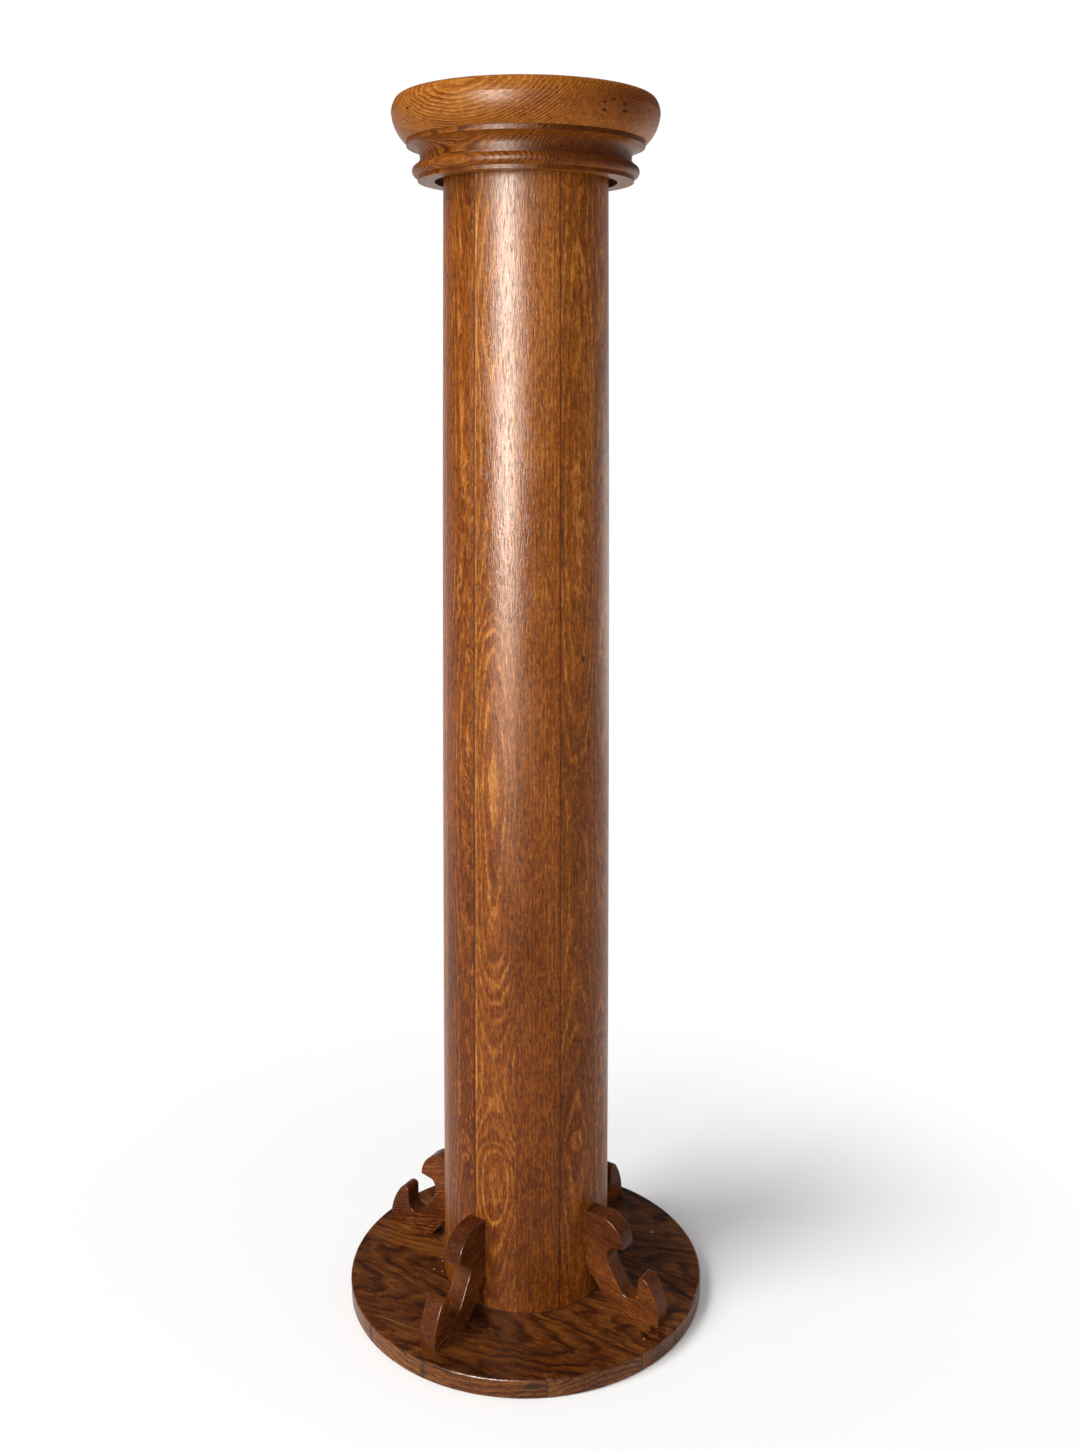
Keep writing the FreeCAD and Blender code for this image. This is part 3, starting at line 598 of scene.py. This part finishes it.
    def end_grain(self, graph: Graph, grain: Triple) -> Socket:
        """How squarely a face cuts the grain: 0 along it, 1 across it."""
        place = graph.node("ShaderNodeTexCoord")
        node = graph.node("ShaderNodeVectorMath", operation="DOT_PRODUCT")
        graph.put(node.inputs[0], place.outputs["Normal"])
        graph.put(node.inputs[1], grain)
        return graph.math("POWER", graph.math("ABSOLUTE", node.outputs["Value"]), 2.0)


def new_material(name: str) -> tuple[Material, Graph]:
    """Starts a material.

    Args:
        name: its name.

    Returns:
        The material and its graph.
    """
    material = bpy.data.materials.new(name)
    material.use_nodes = True
    return material, Graph(material.node_tree)


def dress(node: str, material: Material) -> None:
    """Gives a CAD node its material in every slot.

    Args:
        node: the node's name.
        material: the material.
    """
    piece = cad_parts[node]
    if not piece.material_slots:
        piece.data.materials.append(material)
    for slot in piece.material_slots:
        slot.material = material


# ---- column


@dataclass(frozen=True)
class StaveLook:
    """What sets one stave apart: its cut, its heart's depth and its glue lines.

    rings holds heights in metres, each with how many rings deep the heart lies there:
    the face shows an arch wherever that passes a half.
    tones holds shares of the length, each with a tone, 0.5 being the timber's own.
    The left edge highlight is how much paler the strip beside the left glue line is painted: a painted
    highlight along that edge.
    """

    cut: Cut
    rings: tuple[tuple[float, float], ...] = ((0.0, 12.0), (1.0, 12.0))
    tones: tuple[tuple[float, float], ...] = ((0.0, 0.5), (1.0, 0.5))
    left_seam: float = 0.3
    right_seam: float = 0.3
    left_edge_highlight: float = 0.0
    timber: Timber = GOLDEN


FOOT_RADIUS = 0.0745


def knot(azimuth: float, height: float, wide: float, high: float, strength: float = 0.9) -> Mark:
    """A dark spot on a stave, at degrees from the stave's middle and a height."""
    across = math.radians(azimuth) * FOOT_RADIUS
    return Mark((across, height, 0.0), (wide, high, 0.01), strength=strength)


EYED = replace(GOLDEN, name="eyed_golden_hardwood", ring=0.36)
EYE_STAVE = StaveLook(
    Cut(seed=1.3, heart_side=-0.0005, waver=0.00045, swirl=1.2, ring_width=0.0026, tone=0.02),
    rings=((0.018, 12.5), (0.09, 10.0), (0.149, 8.2), (0.19, 11.0), (0.2405, 12.5), (0.2805, 11.5),
           (0.299, 10.5), (0.316, 9.5), (0.334, 8.5), (0.3525, 7.5), (0.449, 6.5), (0.495, 5.9),
           (0.542, 6.5), (0.585, 7.5), (0.610, 8.5), (0.65, 11.0), (0.80, 12.4), (0.848, 11.7),
           (0.89, 12.4), (0.962, 14.0)),
    tones=((0.0, 0.45), (0.4, 0.49), (0.65, 0.60), (1.0, 0.63)),
    left_seam=0.90, right_seam=0.15, left_edge_highlight=0.16, timber=EYED)
WAVY_STAVE = StaveLook(
    Cut(seed=2.6, heart_side=0.062, waver=0.0008, swirl=1.0, ring_width=0.0030),
    rings=((0.018, 9.0), (0.5, 8.0), (0.962, 11.0)),
    tones=((0.0, 0.40), (0.30, 0.42), (0.45, 0.49), (0.7, 0.60), (1.0, 0.63)),
    left_seam=0.15, right_seam=0.75)
SWIRL_STAVE = StaveLook(
    Cut(seed=3.9, heart_side=-0.002, waver=0.0006, swirl=1.3, ring_width=0.0026, tone=0.01,
        marks=(knot(2.7, 0.595, 0.0014, 0.0026), knot(-13.7, 0.6925, 0.0009, 0.009, 0.8))),
    rings=((0.018, 12.0), (0.10, 10.5), (0.161, 9.5), (0.175, 9.0), (0.190, 9.5), (0.230, 10.5),
           (0.260, 11.5), (0.32, 13.0), (0.45, 13.5), (0.60, 11.0), (0.70, 10.0), (0.78, 10.5),
           (0.83, 11.5), (0.962, 13.0)),
    tones=((0.0, 0.46), (0.45, 0.48), (0.6, 0.55), (1.0, 0.52)),
    left_seam=0.65, right_seam=0.40)
CURLY_STAVE = StaveLook(
    Cut(seed=12.4, heart_side=0.012, waver=0.0014, swirl=1.5, ring_width=0.0030, tone=-0.03),
    rings=((0.018, 8.0), (0.25, 10.4), (0.5, 7.6), (0.75, 10.0), (0.962, 8.0)),
    tones=((0.0, 0.48), (0.3, 0.38), (0.6, 0.50), (1.0, 0.50)),
    left_seam=0.40, right_seam=0.80)


@dataclass
class Column:
    """The hollow column of coopered staves, with its blocks, its glue lines and a line of painted shade
    at its foot.
    """

    workshop: Workshop
    staves: int = 12
    first_seam: float = -36.0
    foot_radius: float = FOOT_RADIUS
    neck_radius: float = 0.0633
    glue_half_width: float = 0.0006
    foot_line: float = 0.0022
    foot_painted_shade: float = 0.8
    seam_soft: float = 0.03
    deepest_heart: float = 0.06
    hidden_rings: float = 11.0
    hidden_change: float = 2.6
    hidden_steps: int = 6
    looks: dict[int, StaveLook] = field(default_factory=lambda: {
        1: EYE_STAVE, 2: WAVY_STAVE, 3: SWIRL_STAVE, 12: CURLY_STAVE})

    def __post_init__(self) -> None:
        """Reads the column's ends from the frame and fills in the staves' looks."""
        low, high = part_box("stave_01")
        self.foot = low[2]
        self.length = high[2] - low[2]
        for number in range(1, self.staves + 1):
            turn = 2.4 * number
            rings = tuple((self.foot + self.length * step / self.hidden_steps,
                           self.hidden_rings + self.hidden_change * math.sin(turn + 2.1 * step))
                          for step in range(self.hidden_steps + 1))
            cut = Cut(seed=float(number), heart_side=0.04 * math.sin(turn), swirl=1.2)
            self.looks.setdefault(number, StaveLook(cut, rings=rings))

    def azimuth(self, number: int) -> float:
        """The direction of a stave's middle, in degrees."""
        return self.first_seam + (number - 0.5) * 360.0 / self.staves

    def profile(self, graph: Graph, up: Socket, points: Iterable[tuple[float, float]]) -> Socket:
        """A value that changes along a stave.

        Args:
            graph: the material's graph.
            up: the height.
            points: shares of the column's length, each with the value there, 0 to 1.

        Returns:
            The value.
        """
        node = graph.node("ShaderNodeFloatCurve")
        share = graph.math("DIVIDE", graph.math("SUBTRACT", up, self.foot), self.length)
        graph.put(node.inputs["Value"], share)
        curve = node.mapping.curves[0].points
        for place, (position, height) in enumerate(points):
            point = curve[place] if place < 2 else curve.new(position, height)
            point.location = (position, height)
        node.mapping.update()
        return node.outputs[0]

    def stave(self, number: int) -> None:
        """Dresses one stave.

        Args:
            number: the stave's number, from 1.
        """
        look = self.looks[number]
        name = f"stave_{number:02d}"
        material, graph = new_material(f"{name}_wood")
        turned = graph.local(turn=(0.0, 0.0, self.azimuth(number)))
        half_angle = math.pi / self.staves
        taper = (self.foot_radius - self.neck_radius) / self.length
        seat = graph.use(self.workshop.coopered, Vector=turned, Foot_Radius=self.foot_radius,
                         Taper=taper, Half_Angle=half_angle)
        _across, up, _out = graph.split(seat.outputs["Vector"])
        depths = [((height - self.foot) / self.length, rings * look.cut.ring_width / self.deepest_heart)
                  for height, rings in look.rings]
        depth = graph.math("MULTIPLY", self.profile(graph, up, depths), self.deepest_heart)
        shift = graph.math("SUBTRACT", self.profile(graph, up, look.tones), 0.5)
        # Painted highlight: the strip beside the left glue line is painted paler, where the edge of the
        # stave catches the light.
        strip = graph.remap(seat.outputs["Side"], -0.80, -0.90, 0.0, look.left_edge_highlight)
        shift = graph.math("ADD", shift, strip)
        glue = 1.0 - self.glue_half_width / (self.foot_radius * half_angle)
        right = graph.remap(seat.outputs["Side"], glue - self.seam_soft, glue, 0.0, look.right_seam)
        left = graph.remap(seat.outputs["Side"], self.seam_soft - glue, -glue, 0.0, look.left_seam)
        glue_lines_and_painted_shade = graph.math("MAXIMUM", right, left)
        # Painted shade: a thin line at the stave's foot is painted darker, in the crevice where the
        # column meets the board.
        foot = graph.remap(up, self.foot + self.foot_line, self.foot, 0.0, self.foot_painted_shade)
        glue_lines_and_painted_shade = graph.math("MAXIMUM", glue_lines_and_painted_shade, foot)
        around = graph.use(self.workshop.turned, Vector=graph.local(), Taper=taper)
        self.workshop.wood(name, graph, material, look.timber, look.cut, seat.outputs["Vector"],
                           depth, glue_lines_and_painted_shade, tone_shift=shift, facing=around.outputs["Vector"])
        dress(name, material)

    def block(self, name: str, seed: float) -> None:
        """Dresses a turned block inside the column."""
        material, graph = new_material(f"{name}_wood")
        seat = graph.local(turn=(90.0, 0.0, 20.0))
        self.workshop.wood(name, graph, material, PLAIN, Cut(seed=seed, heart_depth=0.04), seat)
        dress(name, material)

    def build(self) -> None:
        """Dresses the staves and the blocks inside them."""
        for number in range(1, self.staves + 1):
            self.stave(number)
        self.block("foot_plug", 21.0)
        self.block("neck_plug", 22.0)


# ---- board


@dataclass(frozen=True)
class Spot:
    """A mark on the board: its place, and half sizes across and along the grain and up."""

    place: Triple
    size: Triple
    colour: Colour
    strength: float = 0.8


BOARD_TOP = 0.018
PLANK = Cut(seed=31.0, waver=0.0030, swirl=0.5)
DARK_KNOT = (0.008, 0.004, 0.002)
PALE_CHIP_AND_GLINT = (0.42, 0.30, 0.20)
GOLDEN_LINE = (0.24, 0.10, 0.03)


@dataclass
class Board:
    """The round foot board, glued up from planks."""

    workshop: Workshop
    grain_turn: float = -27.0
    rim_painted_light: float = 0.15
    cuts: tuple[Cut, ...] = (
        replace(PLANK, heart_side=0.138, heart_depth=0.030, ring_width=0.0050, waver=0.0024,
                swirl=0.8, slope=0.06, tone=0.02),
        replace(PLANK, seed=32.0, heart_side=0.090, heart_depth=0.036, ring_width=0.0048,
                slope=0.14, tone=-0.02),
        replace(PLANK, seed=33.0, heart_side=0.040, heart_depth=0.040, ring_width=0.0044,
                slope=-0.12, tone=0.03),
        replace(PLANK, seed=34.0, heart_side=-0.010, heart_depth=0.034, ring_width=0.0050,
                slope=0.10, tone=0.07),
        replace(PLANK, seed=35.0, heart_side=-0.060, heart_depth=0.036, ring_width=0.0046,
                slope=-0.14, tone=0.05),
        replace(PLANK, seed=36.0, heart_side=-0.125, heart_depth=0.034, ring_width=0.0046,
                slope=0.12, tone=0.04))
    spots: tuple[Spot, ...] = (
        # The first pale spot is a painted highlight on the rim of a small dent in the top; the others
        # are pale chips.
        Spot((0.1198, 0.0483, BOARD_TOP), (0.0017, 0.0017, 0.004), PALE_CHIP_AND_GLINT),
        Spot((-0.0842, -0.0108, BOARD_TOP), (0.0009, 0.0009, 0.004), PALE_CHIP_AND_GLINT),
        Spot((-0.0771, 0.0014, BOARD_TOP), (0.0008, 0.0008, 0.004), PALE_CHIP_AND_GLINT),
        Spot((-0.0763, -0.0137, BOARD_TOP), (0.0008, 0.0008, 0.004), PALE_CHIP_AND_GLINT),
        Spot((0.1015, -0.1078, BOARD_TOP), (0.0008, 0.0008, 0.004), PALE_CHIP_AND_GLINT),
        Spot((-0.1125, -0.0856, BOARD_TOP), (0.0008, 0.0200, 0.004), GOLDEN_LINE, 0.7),
        Spot((0.1360, -0.0395, BOARD_TOP), (0.0080, 0.0100, 0.004), DARK_KNOT, 0.45),
        Spot((0.0070, -0.1590, 0.0115), (0.0060, 0.0070, 0.0022), DARK_KNOT, 0.85),
        Spot((0.0190, -0.1588, 0.0090), (0.0008, 0.0010, 0.0140), DARK_KNOT, 0.9),
        Spot((-0.0848, -0.1357, 0.0060), (0.0026, 0.0026, 0.0100), DARK_KNOT, 0.6),
        Spot((-0.1326, -0.0895, 0.0090), (0.0020, 0.0020, 0.0120), DARK_KNOT, 0.6),
        Spot((0.0985, -0.1261, 0.0090), (0.0010, 0.0010, 0.0140), DARK_KNOT, 0.6),
        Spot((0.1294, -0.0940, 0.0090), (0.0012, 0.0012, 0.0140), DARK_KNOT, 0.6))

    def seat_of(self, place: Triple) -> Triple:
        """A place in the planks' own coordinates: across, along and out of the face."""
        turn = math.radians(-self.grain_turn)
        along = place[0] * math.cos(turn) - place[1] * math.sin(turn)
        across = place[0] * math.sin(turn) + place[1] * math.cos(turn)
        return -across, along, place[2]

    def marks(self, name: str) -> tuple[Mark, ...]:
        """The marks whose places lie in a plank's box."""
        low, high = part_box(name)
        return tuple(Mark(self.seat_of(spot.place), spot.size, spot.colour, spot.strength)
                     for spot in self.spots
                     if low[0] <= spot.place[0] <= high[0] and low[1] <= spot.place[1] <= high[1])

    def plank(self, number: int, cut: Cut) -> None:
        """Dresses one plank.

        Args:
            number: the plank's number, from 1 at the front rim.
            cut: how it was sawn.
        """
        name = f"board_plank_{number}"
        material, graph = new_material(f"{name}_wood")
        turned = graph.local(turn=(0.0, 0.0, self.grain_turn))
        along, across, up = graph.split(turned)
        seat = graph.join(graph.math("MULTIPLY", across, -1.0), along, up)
        turn = math.radians(self.grain_turn)
        level = self.workshop.end_grain(graph, (0.0, 0.0, 1.0))
        # Painted light: faces that aren't level, such as the rim, are painted paler where the light
        # from the side falls on them.
        rim = graph.remap(level, 0.6, 0.1, 0.0, self.rim_painted_light)
        depth = graph.math("ADD", cut.heart_depth, graph.math("MULTIPLY", along, cut.slope))
        marked = replace(cut, marks=self.marks(name))
        self.workshop.wood(name, graph, material, ROSY, marked, seat, depth,
                           grain=(math.cos(turn), math.sin(turn), 0.0), tone_shift=rim)
        dress(name, material)

    def build(self) -> None:
        """Dresses the planks."""
        for number, cut in enumerate(self.cuts, start=1):
            self.plank(number, cut)


# ---- brackets


@dataclass
class Brackets:
    """The four sawn scroll brackets, each with its azimuth and how pale it is: its own tone, and on the
    front-left one also painted light.
    """

    workshop: Workshop
    # The front-left bracket's paleness is partly its own tone and partly painted light, where the light
    # from the left and front falls on it.
    places: tuple[tuple[str, float, float], ...] = (
        ("front_right", 55.5, 0.02), ("front_left", -33.2, 0.09), ("rear_left", -120.5, 0.07),
        ("rear_right", 143.5, 0.03))
    sawn: Cut = Cut(seed=41.0, heart_side=-0.050, heart_depth=0.20, ring_width=0.0013, waver=0.0006,
                    swirl=0.9)
    grain_tilt: float = 14.0

    def bracket(self, place: str, azimuth: float, tone: float, seed: float) -> None:
        """Dresses one bracket.

        Args:
            place: where it stands, as in its node's name.
            azimuth: the direction that it points in, in degrees.
            tone: how much paler than its timber it is.
            seed: what sets its figure apart.
        """
        name = f"bracket_{place}"
        material, graph = new_material(f"{name}_wood")
        turned = graph.local(turn=(0.0, self.grain_tilt, azimuth - 90.0))
        along, out, up = graph.split(turned)
        seat = graph.join(up, along, out)
        cut = replace(self.sawn, seed=seed, tone=tone)
        turn = math.radians(azimuth - 90.0)
        face = (-math.sin(turn), math.cos(turn), 0.0)
        self.workshop.wood(name, graph, material, SAWN, cut, seat, edge_of=face)
        dress(name, material)

    def build(self) -> None:
        """Dresses the brackets."""
        for number, (place, azimuth, tone) in enumerate(self.places):
            self.bracket(place, azimuth, tone, self.sawn.seed + number)


# ---- capital


@dataclass
class Capital:
    """The turned capital of two glued discs.

    Each pin is a small knot on the big torus: its azimuth, its height and its radius in mm.
    """

    workshop: Workshop
    eye_azimuth: float = -28.0
    base_azimuth: float = -36.0
    top_heart_height: float = 0.950
    base_heart_height: float = 0.965
    torus_radius: float = 0.1005
    pins: tuple[tuple[float, float, float], ...] = (
        (32.7, 0.9915, 1.3), (33.9, 0.9951, 1.0), (34.5, 1.0001, 0.8), (38.8, 1.0028, 1.1),
        (45.3, 1.0009, 0.9), (45.2, 0.9964, 1.1), (43.2, 0.9929, 0.8), (62.7, 1.0011, 0.9),
        (-57.3, 1.0006, 1.1))
    top_cut: Cut = Cut(seed=51.0, heart_depth=0.0, ring_width=0.0019, waver=0.0007, swirl=0.7,
                       tone=0.05)
    base_cut: Cut = Cut(seed=52.0, heart_depth=0.0, ring_width=0.0022, waver=0.0009, swirl=0.8,
                        tone=-0.12)

    def pin_marks(self, azimuth: float, heart_height: float) -> tuple[Mark, ...]:
        """The small dark pin knots on the big torus, in the disc's own coordinates."""
        marks = []
        for place, height, radius in self.pins:
            angle = math.radians(place - azimuth)
            along = self.torus_radius * math.sin(angle)
            out = self.torus_radius * math.cos(angle)
            size = radius * MM
            marks.append(Mark((height - heart_height, along, out), (size, size * 1.3, 0.004),
                              strength=0.85))
        return tuple(marks)

    def disc(self, name: str, azimuth: float, heart_height: float, cut: Cut) -> None:
        """Dresses one disc, whose growth rings close in an eye at an azimuth.

        Args:
            name: the disc's name.
            azimuth: where the rings close, in degrees.
            heart_height: the height of the tree's heart.
            cut: how the disc was sawn.
        """
        material, graph = new_material(f"{name}_wood")
        turned = graph.local((0.0, 0.0, heart_height), (0.0, 0.0, azimuth))
        along, towards, up = graph.split(turned)
        seat = graph.join(up, along, graph.math("MULTIPLY", towards, -1.0))
        turn = math.radians(azimuth)
        self.workshop.wood(name, graph, material, TURNED, cut, seat,
                           grain=(math.cos(turn), math.sin(turn), 0.0))
        dress(name, material)

    def build(self) -> None:
        """Dresses both discs."""
        marks = self.pin_marks(self.eye_azimuth, self.top_heart_height)
        self.disc("capital_top", self.eye_azimuth, self.top_heart_height,
                  replace(self.top_cut, marks=marks))
        self.disc("capital_base", self.base_azimuth, self.base_heart_height, self.base_cut)


# ---- fixings


@dataclass
class Fixings:
    """The hidden screws and dowels."""

    workshop: Workshop
    steel: Colour = (0.42, 0.40, 0.36)
    tarnished: Colour = (0.16, 0.12, 0.09)

    def build(self) -> None:
        """Dresses the screws in worn steel and the dowels in plain wood."""
        material, graph = new_material("screw_steel_worn")
        seat = graph.local()
        tarnish = graph.remap(graph.noise(seat, (320.0, 320.0, 320.0), Noise.FINE), 0.42, 0.66)
        shader = material.node_tree.nodes["Principled BSDF"]
        graph.put(shader.inputs["Base Color"], graph.mix(tarnish, self.steel, self.tarnished))
        graph.put(shader.inputs["Roughness"], graph.remap(tarnish, 0.0, 1.0, 0.32, 0.6))
        shader.inputs["Metallic"].default_value = 1.0
        for name in ("column_screws", "bracket_screws", "capital_screws"):
            dress(name, material)
            LOG.info("%s: worn steel", name)
        dowels, graph = new_material("dowel_wood_plain")
        self.workshop.wood("capital_dowels", graph, dowels, PLAIN, Cut(seed=61.0),
                           graph.local(turn=(90.0, 0.0, 0.0)))
        dress("capital_dowels", dowels)


# ---- studio


WARM = (1.0, 0.90, 0.80)


@dataclass(frozen=True)
class Lamp:
    """One lamp, which shows in matt surfaces or, if it isn't matt, in the polish alone.

    A sun's size is its angle in degrees, a panel's are its width and height in metres.
    """

    name: str
    kind: str
    power: float
    place: Triple
    aim: Triple
    size: float
    height: float = 0.0
    colour: Colour = (1.0, 1.0, 1.0)
    matt: bool = True


@dataclass
class Studio:
    """The pale floor, the soft light and the camera."""

    camera_place: Triple = (0.0138, -1.1640, 0.8145)
    camera_pitch: float = 0.2408
    camera_roll: float = 0.0027
    focal_pixels: float = 1430.26
    frame_height: float = 1450.0
    sensor: float = 36.0
    ambient: float = 0.42
    room: float = 0.12
    shadow_reach: float = 0.62
    floor_half: float = 8.0
    floor_white: float = 0.93
    near: float = 0.23
    near_glow: float = 0.06
    lamps: tuple[Lamp, ...] = (
        Lamp("daylight", "SUN", 2.3, (-0.883, -0.470, 1.2), (0.0, 0.0, 0.2), 28.0),
        Lamp("soft_panel", "AREA", 13.0, (-0.92, -1.66, 1.12), (0.0, 0.0, 0.85), 0.60, 0.90),
        Lamp("window_gleam", "AREA", 400.0, (-0.80, -1.74, 0.95), (0.0, 0.0, 0.85), 0.90, 1.25,
             WARM, False),
        Lamp("rim_gleam", "AREA", 3.5, (1.28, 1.54, 0.35), (0.0, 0.0, 0.5), 1.10, 0.80, WARM, False))

    def camera(self) -> None:
        """Sets the camera where the photograph was taken from."""
        data = bpy.data.cameras.new("view")
        data.sensor_width = self.sensor
        data.lens = self.focal_pixels * self.sensor / self.frame_height
        camera = bpy.data.objects.new("view", data)
        tilt = Matrix.Rotation(math.radians(90.0) - self.camera_pitch, 4, "X")
        roll = Matrix.Rotation(self.camera_roll, 4, "Z")
        camera.matrix_world = Matrix.Translation(self.camera_place) @ tilt @ roll
        bpy.context.scene.collection.objects.link(camera)
        bpy.context.scene.camera = camera

    def world(self) -> None:
        """White behind everything, and a softer even light on the stand."""
        world = bpy.data.worlds.new("studio")
        world.use_nodes = True
        bpy.context.scene.world = world
        graph = Graph(world.node_tree)
        path = graph.node("ShaderNodeLightPath")
        gloss = path.outputs["Is Glossy Ray"]
        shown = graph.math("MAXIMUM", path.outputs["Is Camera Ray"],
                           path.outputs["Is Transmission Ray"])
        place = graph.node("ShaderNodeTexCoord")
        x, y, z = graph.split(place.outputs["Generated"])
        behind = graph.remap(graph.math("ADD", y, graph.math("MULTIPLY", x, 0.4)), 0.1, 0.8)
        low = graph.remap(z, 0.30, -0.05)
        sweep = graph.remap(graph.math("MULTIPLY", behind, low), 0.0, 1.0, self.room, 1.0)
        glossy = graph.math("MULTIPLY", gloss, sweep)
        matt = graph.math("MULTIPLY", graph.math("SUBTRACT", 1.0, gloss), self.ambient)
        light = graph.math("MAXIMUM", shown, graph.math("ADD", glossy, matt))
        back = world.node_tree.nodes["Background"]
        back.inputs["Color"].default_value = (1.0, 1.0, 1.0, 1.0)
        graph.put(back.inputs["Strength"], light)

    def floor(self) -> None:
        """A plain pale floor that shows white and keeps the stand's shadow."""
        mesh = bpy.data.meshes.new("floor")
        shape = bmesh.new()
        bmesh.ops.create_grid(shape, x_segments=2, y_segments=2, size=self.floor_half)
        shape.to_mesh(mesh)
        shape.free()
        floor = bpy.data.objects.new("floor", mesh)
        bpy.context.scene.collection.objects.link(floor)
        material, graph = new_material("floor_white")
        shader = material.node_tree.nodes["Principled BSDF"]
        shader.inputs["Base Color"].default_value = (*[self.floor_white] * 3, 1.0)
        shader.inputs["Roughness"].default_value = 0.9
        shader.inputs["Specular IOR Level"].default_value = 0.0
        path = graph.node("ShaderNodeLightPath")
        seen = graph.math("MAXIMUM", path.outputs["Is Camera Ray"], path.outputs["Is Glossy Ray"])
        seen = graph.math("MAXIMUM", seen, path.outputs["Is Transmission Ray"])
        glow = graph.node("ShaderNodeEmission")
        blend = graph.node("ShaderNodeMixShader")
        away = graph.length(graph.local())
        share = graph.remap(away, self.near, self.shadow_reach, self.near_glow, 1.0)
        graph.put(blend.inputs[0], graph.math("MULTIPLY", seen, share))
        graph.put(blend.inputs[1], shader.outputs[0])
        graph.put(blend.inputs[2], glow.outputs[0])
        output = material.node_tree.nodes["Material Output"]
        graph.put(output.inputs["Surface"], blend.outputs[0])
        floor.data.materials.append(material)

    def lamp(self, given: Lamp) -> None:
        """Adds a lamp.

        Args:
            given: what it is like.
        """
        data = bpy.data.lights.new(given.name, given.kind)
        data.energy = given.power
        data.color = given.colour
        if given.kind == "SUN":
            data.angle = math.radians(given.size)
        else:
            data.shape = "ELLIPSE"
            data.size = given.size
            data.size_y = given.height
        lamp = bpy.data.objects.new(given.name, data)
        lamp.location = given.place
        aim = Vector(given.aim) - Vector(given.place)
        lamp.rotation_euler = aim.to_track_quat("-Z", "Y").to_euler()
        lamp.visible_diffuse = given.matt
        lamp.visible_glossy = not given.matt
        lamp.visible_camera = given.kind == "SUN"
        bpy.context.scene.collection.objects.link(lamp)

    def build(self) -> None:
        """Sets up the whole studio."""
        bpy.context.scene.view_settings.view_transform = "Standard"
        self.camera()
        self.world()
        self.floor()
        for lamp in self.lamps:
            self.lamp(lamp)


def main() -> None:
    """Builds the studio and dresses the stand, one sub-assembly after another."""
    logging.basicConfig(level=logging.INFO, format="%(name)s: %(message)s")
    Studio().build()
    workshop = Workshop()
    for assembly in (Column, Board, Brackets, Capital, Fixings):
        assembly(workshop).build()


if __name__ == "__main__":
    main()
